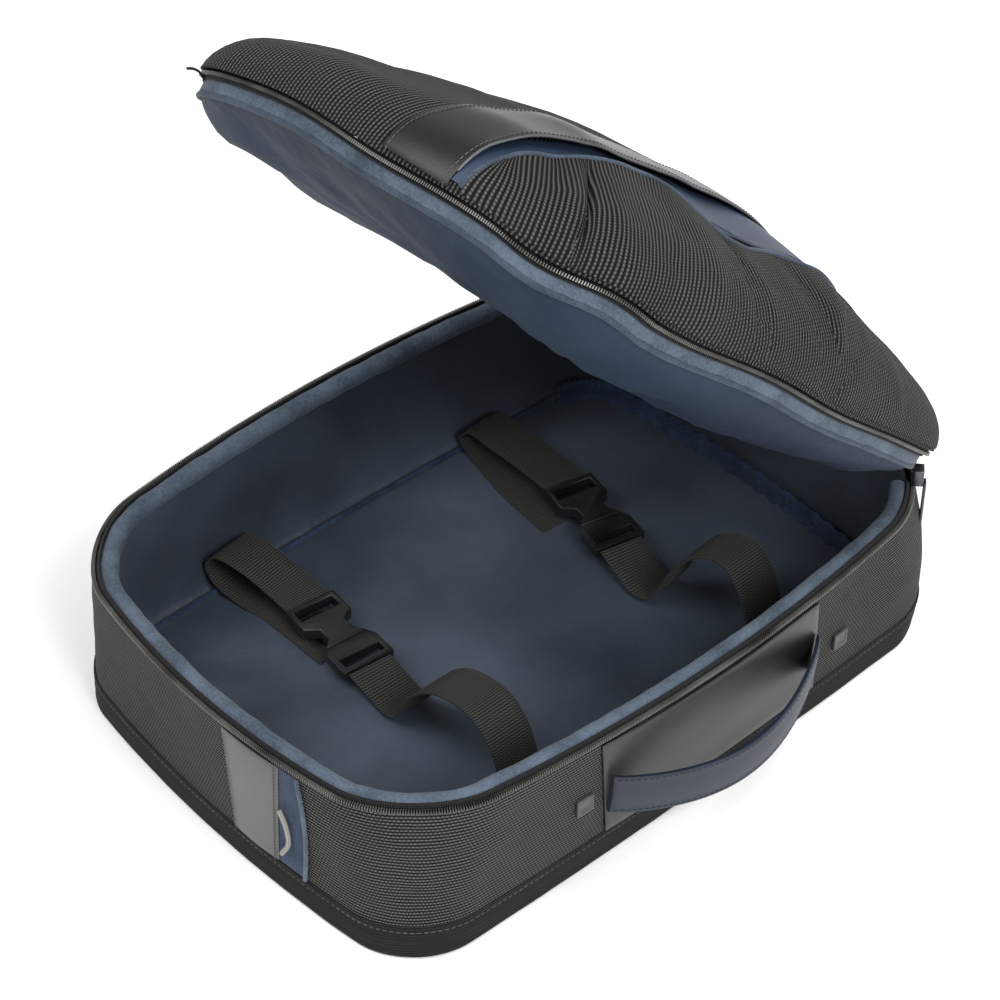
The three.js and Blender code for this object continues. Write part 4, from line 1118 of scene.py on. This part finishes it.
# %% Navy facing inside the pocket's mouth
MOUTH_REACH = [(row[2], BAND_END + row[1] + 1) for row in MOUTH]
inside_rows = []
for along in BAND_ROWS[1:]:
    reach = table_value(MOUTH_REACH, crown_place(BAND_END, along).y / BAG_LENGTH)
    on_wall = along < 1
    reach = min(reach, BAND_END + 7) if on_wall else reach
    inside_rows.append([on_lid(crown_place(x, along), 3.3 if on_wall else 2.8)
                        for x in spread(66, reach, 10)])
inside = grid_object("pocket_mouth_facing", inside_rows, wall=0.5)
finish_piece(inside, POCKET_CLOTH, "navy_cloth", "pocket_facing")

# %% [markdown]
# ## Pieces on the tray's walls
#
# The patch, panel and handle sit on walls that bow and lean. Two functions give a point of the
# end's wall and of the long side's, so that every cover follows its wall at an even gap.

# %% Points of the upright walls
def wall_shape(z):
    share = z / RIM
    return {key: mix(BASE_SHAPE[key], RIM_SHAPE[key], share) for key in RIM_SHAPE}


def end_wall(x, z, inset):
    s = wall_shape(z)
    return Vector((x, -(s["b"] + s["end"] * (1 - (x / s["a"]) ** 2)) + inset, z))


def side_wall(y, z, inset):
    s = wall_shape(z)
    return Vector((s["a"] + s["side"] * (1 - (y / s["b"]) ** 2) - inset, y, z))


COVER_OUT, COVER_FOOT, COVER_TOP = 0.3, 28.4, 116.5


def cover_rows(place, left, right, columns, inset):
    return [[place(mix(left(z), right(z), share), z, inset(share, z)) for share in spread(0, 1, columns)]
            for z in spread(COVER_FOOT, COVER_TOP, 14)]

# %% [markdown]
# The patch is plain leather with a seam at each side. Beside it a slit shows a navy cloth, a bound
# edge and a loop of cord, whose route is a smooth curve through a few places.

# %% Leather patch on the free end, its slit and the cord loop
def patch_edge(z):
    return 73 - 8 * clamp((COVER_TOP - z) / (COVER_TOP - COVER_FOOT))


PATCH_LEFT, END_OUT = 24, Vector((0, -1, 0))
patch = grid_object("end_leather_patch", cover_rows(
    end_wall, lambda z: PATCH_LEFT, patch_edge, 16,
    lambda share, z: COVER_OUT - 0.8 * math.sin(share * math.pi)), wall=1.5)
soften(patch, 0.5)
finish_piece(patch, PATCH_LEATHER, "black_leather", "end_patch")
COVER_LEVELS = spread(COVER_FOOT, COVER_TOP, 40)
patch_seams = [[end_wall(PATCH_LEFT + 2.2, z, -1.3) for z in COVER_LEVELS],
               [end_wall(patch_edge(z) - 2.6, z, -1.3) for z in COVER_LEVELS]]
stitching("patch_stitching", patch_seams, 3.4, (2.4, 0.6, 0.6), lambda place, along: END_OUT,
          THREAD, "binding_tape")


def slit_side(z):
    return 87 + 3.5 * math.sin(clamp((z - COVER_FOOT) / 88) * math.pi)


slit = grid_object("slit_facing_cloth", cover_rows(
    end_wall, lambda z: patch_edge(z) + 0.4, slit_side, 6,
    lambda share, z: COVER_OUT + 0.2), wall=0.5)
finish_piece(slit, NAVY_CLOTH, "navy_cloth", "slit_facing")
slit_line = [end_wall(slit_side(z) + 1.3, z, -0.7) for z in COVER_LEVELS]
tube("slit_bound_edge", slit_line, 1.5, BINDING, "binding_tape", "slit_binding", up=END_OUT)

# The cord: share of the slit's height, share of the way across it
CORD_ROUTE = [(0.98, 0.1), (0.92, 0.3), (0.82, 0.55), (0.68, 0.78), (0.52, 0.86), (0.4, 0.7),
              (0.3, 0.45), (0.22, 0.25)]
cord_points = []
for height, reach in CORD_ROUTE:
    z = mix(COVER_FOOT, COVER_TOP, height * 0.6)
    cord_points.append(end_wall(patch_edge(z) + 2 + reach * 10, z, -2.0))
cord_line = []
ends = cord_points[:1] + cord_points + cord_points[-1:]
for before, here, there, after in zip(ends, ends[1:], ends[2:], ends[3:]):
    bend = 2 * before - 5 * here + 4 * there - after
    twist = 3 * here - before - 3 * there + after
    for t in (0, 0.25, 0.5, 0.75):
        cord_line.append(0.5 * ((2 * here) + (there - before) * t + bend * t ** 2 + twist * t ** 3))
tube("cord_pull_loop", cord_line, 1.7, GREY_CORD, "grey_cord", "pull_loop", sides=10, up=END_OUT)

# %% [markdown]
# The handle is a flat leather strap, arched out so that a hand fits under it. It could be a curve
# with a bevel, but a section with thinner stitched margins shows the seams. The rivets are cubes
# with an inset face and softened edges.

# %% Smooth panel, handle and rivets on the long side
def lean(z):
    return 6 * (1 - 2 * (z - COVER_FOOT) / (COVER_TOP - COVER_FOOT))


def panel_inset(share, z):
    return COVER_OUT - 0.7 - 0.9 * math.sin(share * math.pi) - 0.5 * wrinkle((share * 90, z, 0), 26)


panel = grid_object("side_leather_panel", cover_rows(
    side_wall, lambda z: -90 + lean(z), lambda z: 96 + lean(z), 40, panel_inset), wall=1.5)
soften(panel, 0.5)
finish_piece(panel, BLACK_LEATHER, "black_leather", "side_panel")

HANDLE_BACK = COVER_OUT - 1.6 - 0.4


def handle_point(share, side, out):
    arch = math.sin(share * math.pi) ** 0.85
    y = mix(-87, 93, share)
    return side_wall(y, 69 - 9 * arch + side * 17, HANDLE_BACK - 29 * arch - out)


# The handle's section: share of its half width, thickness
HANDLE_PROFILE = [(-1, 0.6), (-0.97, 0), (-0.5, 0), (0, 0), (0.5, 0), (0.97, 0), (1, 0.6), (1, 2.6),
                  (0.94, 3.4), (0.84, 3.1), (0.5, 3.9), (0, 4.2), (-0.5, 3.9), (-0.84, 3.1),
                  (-0.94, 3.4), (-1, 2.6)]
handle = loft_object("carry_handle", [[handle_point(share, side, out) for side, out in HANDLE_PROFILE]
                                      for share in spread(0, 1, 90)])
finish_piece(handle, NAVY_LEATHER, "navy_leather", "side_handle")
handle_seams = [[handle_point(share, side, 3.3) for share in spread(0.015, 0.985, 120)]
                for side in (-0.84, 0.84)]
stitching("handle_stitching", handle_seams, 4.0, (2.8, 0.9, 0.7),
          lambda place, along: along.cross(Vector((0, 0, 1))).normalized(), NAVY_THREAD, "navy_leather")
for name, y, z in (("rivet_free_end", -105, 69), ("rivet_hinge_end", 122, 60)):
    bpy.ops.object.select_all(action="DESELECT")
    bpy.ops.mesh.primitive_cube_add(size=1)
    rivet = bpy.context.object
    rivet.name = name.replace("rivet", "square_rivet")
    place = side_wall(y, z, -0.9)
    slope = (side_wall(y + 4, z, 0) - side_wall(y - 4, z, 0)).normalized()
    turn = Matrix.Rotation(math.atan2(slope.y, slope.x) - math.pi / 2, 4, "Z")
    size = Matrix.Diagonal((2.6 * MM, 13 * MM, 13 * MM, 1))
    rivet.data.transform(Matrix.Translation(place * MM) @ turn @ size)
    select_only(rivet)
    bpy.ops.object.mode_set(mode="EDIT")
    bpy.ops.mesh.select_all(action="DESELECT")
    bpy.ops.object.mode_set(mode="OBJECT")
    face = max(rivet.data.polygons, key=lambda p: p.normal.x)
    face.select = True
    bpy.ops.object.mode_set(mode="EDIT")
    bpy.ops.mesh.select_mode(type="FACE")
    bpy.ops.mesh.inset(thickness=1.6 * MM)
    bpy.ops.mesh.inset(thickness=0.5 * MM, depth=-0.5 * MM)
    bpy.ops.object.mode_set(mode="OBJECT")
    soften(rivet, 0.7, 3, 0.9)
    finish_piece(rivet, BLACK_METAL, "gunmetal", name)

# %% [markdown]
# ## Straps, buckles, slider and pull
#
# Two packing straps lie in loops on the lining. Each is a flat section carried along a smooth
# curve, turned level, because a webbing bends about its width and hardly twists.

# %% Webbing straps
# Each row: share of the way from the middle to the wall, share of the arch's height, share of the length
STRAPS = {
    "strap_1": {
        "tail": [(-0.38, 0, -0.42), (-0.7, 0.01, -0.425), (-0.92, 0.05, -0.45), (-1.01, 0.16, -0.465),
                 (-1.04, 0.36, -0.47), (-1.0, 0.52, -0.462), (-0.87, 0.48, -0.435), (-0.74, 0.31, -0.405),
                 (-0.625, 0.2, -0.39)],
        "lead": [(-0.174, 0.2, -0.422), (-0.08, 0.13, -0.422), (0.02, 0.06, -0.422), (0.08, 0.1, -0.422),
                 (0.13, 0.3, -0.422), (0.2, 0.6, -0.422), (0.32, 0.87, -0.422), (0.45, 0.98, -0.422),
                 (0.57, 0.97, -0.422), (0.66, 0.78, -0.422), (0.72, 0.46, -0.422), (0.79, 0.17, -0.422),
                 (0.86, 0.03, -0.422), (0.93, 0, -0.422)],
    },
    "strap_2": {
        "tail": [(-0.36, 0, 0.44), (-0.66, 0.01, 0.46), (-0.86, 0.03, 0.49), (-0.97, 0.1, 0.5),
                 (-1.01, 0.2, 0.505), (-0.97, 0.3, 0.51), (-0.82, 0.3, 0.515), (-0.62, 0.25, 0.525),
                 (-0.46, 0.2, 0.53)],
        "lead": [(-0.017, 0.2, 0.46), (0.08, 0.12, 0.45), (0.18, 0.06, 0.438), (0.25, 0.09, 0.44),
                 (0.3, 0.27, 0.45), (0.35, 0.57, 0.465), (0.43, 0.85, 0.483), (0.54, 1.0, 0.496),
                 (0.63, 0.98, 0.5), (0.7, 0.8, 0.5), (0.75, 0.5, 0.5), (0.8, 0.22, 0.497),
                 (0.86, 0.04, 0.49), (0.93, 0, 0.487)],
    },
}
INNER_HALF, STRAP_ARCH, FLOOR = 161.8, 66, 12.4
WEB_PROFILE = [(-16.5, 0.5), (-16.2, 0.85), (-10, 0.9), (0, 0.9), (10, 0.9), (16.2, 0.85), (16.5, 0.5),
               (16.5, -0.5), (16.2, -0.85), (0, -0.9), (-16.2, -0.85), (-16.5, -0.5)]


def between(here, there, start, end, t):
    return here * ((end - t) / (end - start)) + there * ((t - start) / (end - start))


def strap_line(rows):
    """A smooth curve through a strap's rows."""
    points = [Vector((x * INNER_HALF, y * 230, FLOOR + 1.3 + z * STRAP_ARCH)) for x, z, y in rows]
    ends = [2 * points[0] - points[1]] + points + [2 * points[-1] - points[-2]]
    line = []
    for p0, p1, p2, p3 in zip(ends, ends[1:], ends[2:], ends[3:]):
        knots = [0.0]
        for here, there in ((p0, p1), (p1, p2), (p2, p3)):
            knots.append(knots[-1] + max((there - here).length, 0.01) ** 0.5)
        t0, t1, t2, t3 = knots
        for t in spread(t1, t2, 10)[:-1]:
            a1, a2 = between(p0, p1, t0, t1, t), between(p1, p2, t1, t2, t)
            a3 = between(p2, p3, t2, t3, t)
            b1, b2 = between(a1, a2, t0, t2, t), between(a2, a3, t1, t3, t)
            line.append(between(b1, b2, t1, t2, t))
    return line + [points[-1]]


def strap_sections(rows, squared, near_end):
    line = strap_line(rows)
    sections = []
    for index, point in enumerate(line):
        ahead = (line[min(index + 1, len(line) - 1)] - line[max(index - 1, 0)]).normalized()
        across = Vector((-ahead.y * math.copysign(1, ahead.x), abs(ahead.x) + 1, 0)).normalized()
        share = index / (len(line) - 1)
        near = clamp((share - 0.88) / 0.12) if near_end else clamp((0.12 - share) / 0.12)
        across = across.lerp(squared, near).normalized()
        up = ahead.cross(across).normalized()
        sections.append([point + across * side + up * face for side, face in WEB_PROFILE])
    return sections


for name, strap in STRAPS.items():
    start, end = strap["tail"][-1], strap["lead"][0]
    run = Vector(((end[0] - start[0]) * INNER_HALF, (end[2] - start[2]) * 230, 0)).normalized()
    squared = Vector((-run.y, run.x, 0))
    for part, near_end in (("tail", True), ("lead", False)):
        webbing = loft_object(f"{name}_webbing_{part}", strap_sections(strap[part], squared, near_end))
        finish_piece(webbing, WEBBING, "webbing", f"{name}_{part}")

# %% [markdown]
# The buckle halves are already exact in the solids. They are copied, cleaned of flat edges and
# bevelled, since moulded parts have no sharp edge.

# %% Moulded buckles: the CAD plates, welded and rounded
def copy_node(name, new_name):
    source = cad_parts[name]
    copy = source.copy()
    copy.data = source.data.copy()
    copy.name = new_name
    for key in list(copy.keys()):
        del copy[key]
    bpy.context.scene.collection.objects.link(copy)
    copy.hide_render = False
    weld(copy, 0.00002)
    on_whole_mesh(copy, bpy.ops.mesh.dissolve_limited, angle_limit=math.radians(2))
    return copy


for name in STRAPS:
    for part in ("socket", "catch"):
        plate = copy_node(f"{name}_{part}", f"{name}_buckle_{part}")
        soften(plate, 1.1, 3, 0.6)
        finish_piece(plate, ACETAL, "black_acetal", f"{name}_{part}", smooth_angle=35)

# %% [markdown]
# The slider stays on the bag and the pull rides on its own body, which swings on the slider.

# %% Zip slider and its pull
for name, body in (("zip_slider", "bag"), ("zip_pull", "pull")):
    metal = copy_node(name, name.replace("zip", "metal"))
    soften(metal, 0.6, 3, 0.6)
    finish_piece(metal, GUNMETAL, "gunmetal", name, body=body)

# %% [markdown]
# ## Floor, light and camera
#
# A pale floor, a broad soft key from the left, lights from above and from the handle's side, and the
# camera at the photograph's view: a 104 mm lens about 2 m away. An image of a studio could light it
# too, but three area lights keep the shadows where the photograph has them.

# %% Stage
floor_material, floor_shader = new_material("Matt white paint", 0.9)
tint = object_noise(floor_material, 0.4, 2.0)
connect(floor_material, floor_shader, ramp(floor_material, tint, [(0.3, "#f7f7f7"), (0.7, "#fbfbfb")]))
bpy.ops.object.select_all(action="DESELECT")
bpy.ops.mesh.primitive_plane_add(size=12, location=(0, 0, -0.0002))
floor = bpy.context.object
floor.name = "pale_floor"
floor.data.materials.append(floor_material)

world = bpy.data.worlds.new("Soft studio")
bpy.context.scene.world = world
world.use_nodes = True
sky = world.node_tree.nodes["Background"]
sky.inputs["Color"].default_value = (1, 1, 1, 1)
sky.inputs["Strength"].default_value = 0.62


def soft_light(name, place, power, size):
    bpy.ops.object.light_add(type="AREA", location=place)
    lamp = bpy.context.object
    lamp.name = name
    lamp.data.energy = power
    lamp.data.size = size
    lamp.rotation_euler = (Vector((0, 0, 0.1)) - Vector(place)).to_track_quat("-Z", "Y").to_euler()


soft_light("key_light", (-0.6, -1.2, 2.2), 28, 1.4)
soft_light("top_light", (0.6, 0.9, 2.6), 34, 1.2)
soft_light("side_light", (1.9, -0.4, 1.8), 44, 1.0)

camera_data = bpy.data.cameras.new("photo_view")
camera_data.lens = 104.3
camera_data.sensor_width = 36
camera_data.clip_end = 50
camera = bpy.data.objects.new("photo_view", camera_data)
bpy.context.scene.collection.objects.link(camera)
right = Vector((0.6694, 0.7429, -0.0011)).normalized()
forward = Vector((-0.5583, 0.5021, -0.6605)).normalized()
up = right.cross(forward).normalized()
turn = Matrix((right, up, -forward)).transposed()
camera.matrix_world = Matrix.Translation((1.0326, -0.9367, 1.3582)) @ turn.to_4x4()
bpy.context.scene.camera = camera
bpy.context.scene.view_settings.view_transform = "Standard"
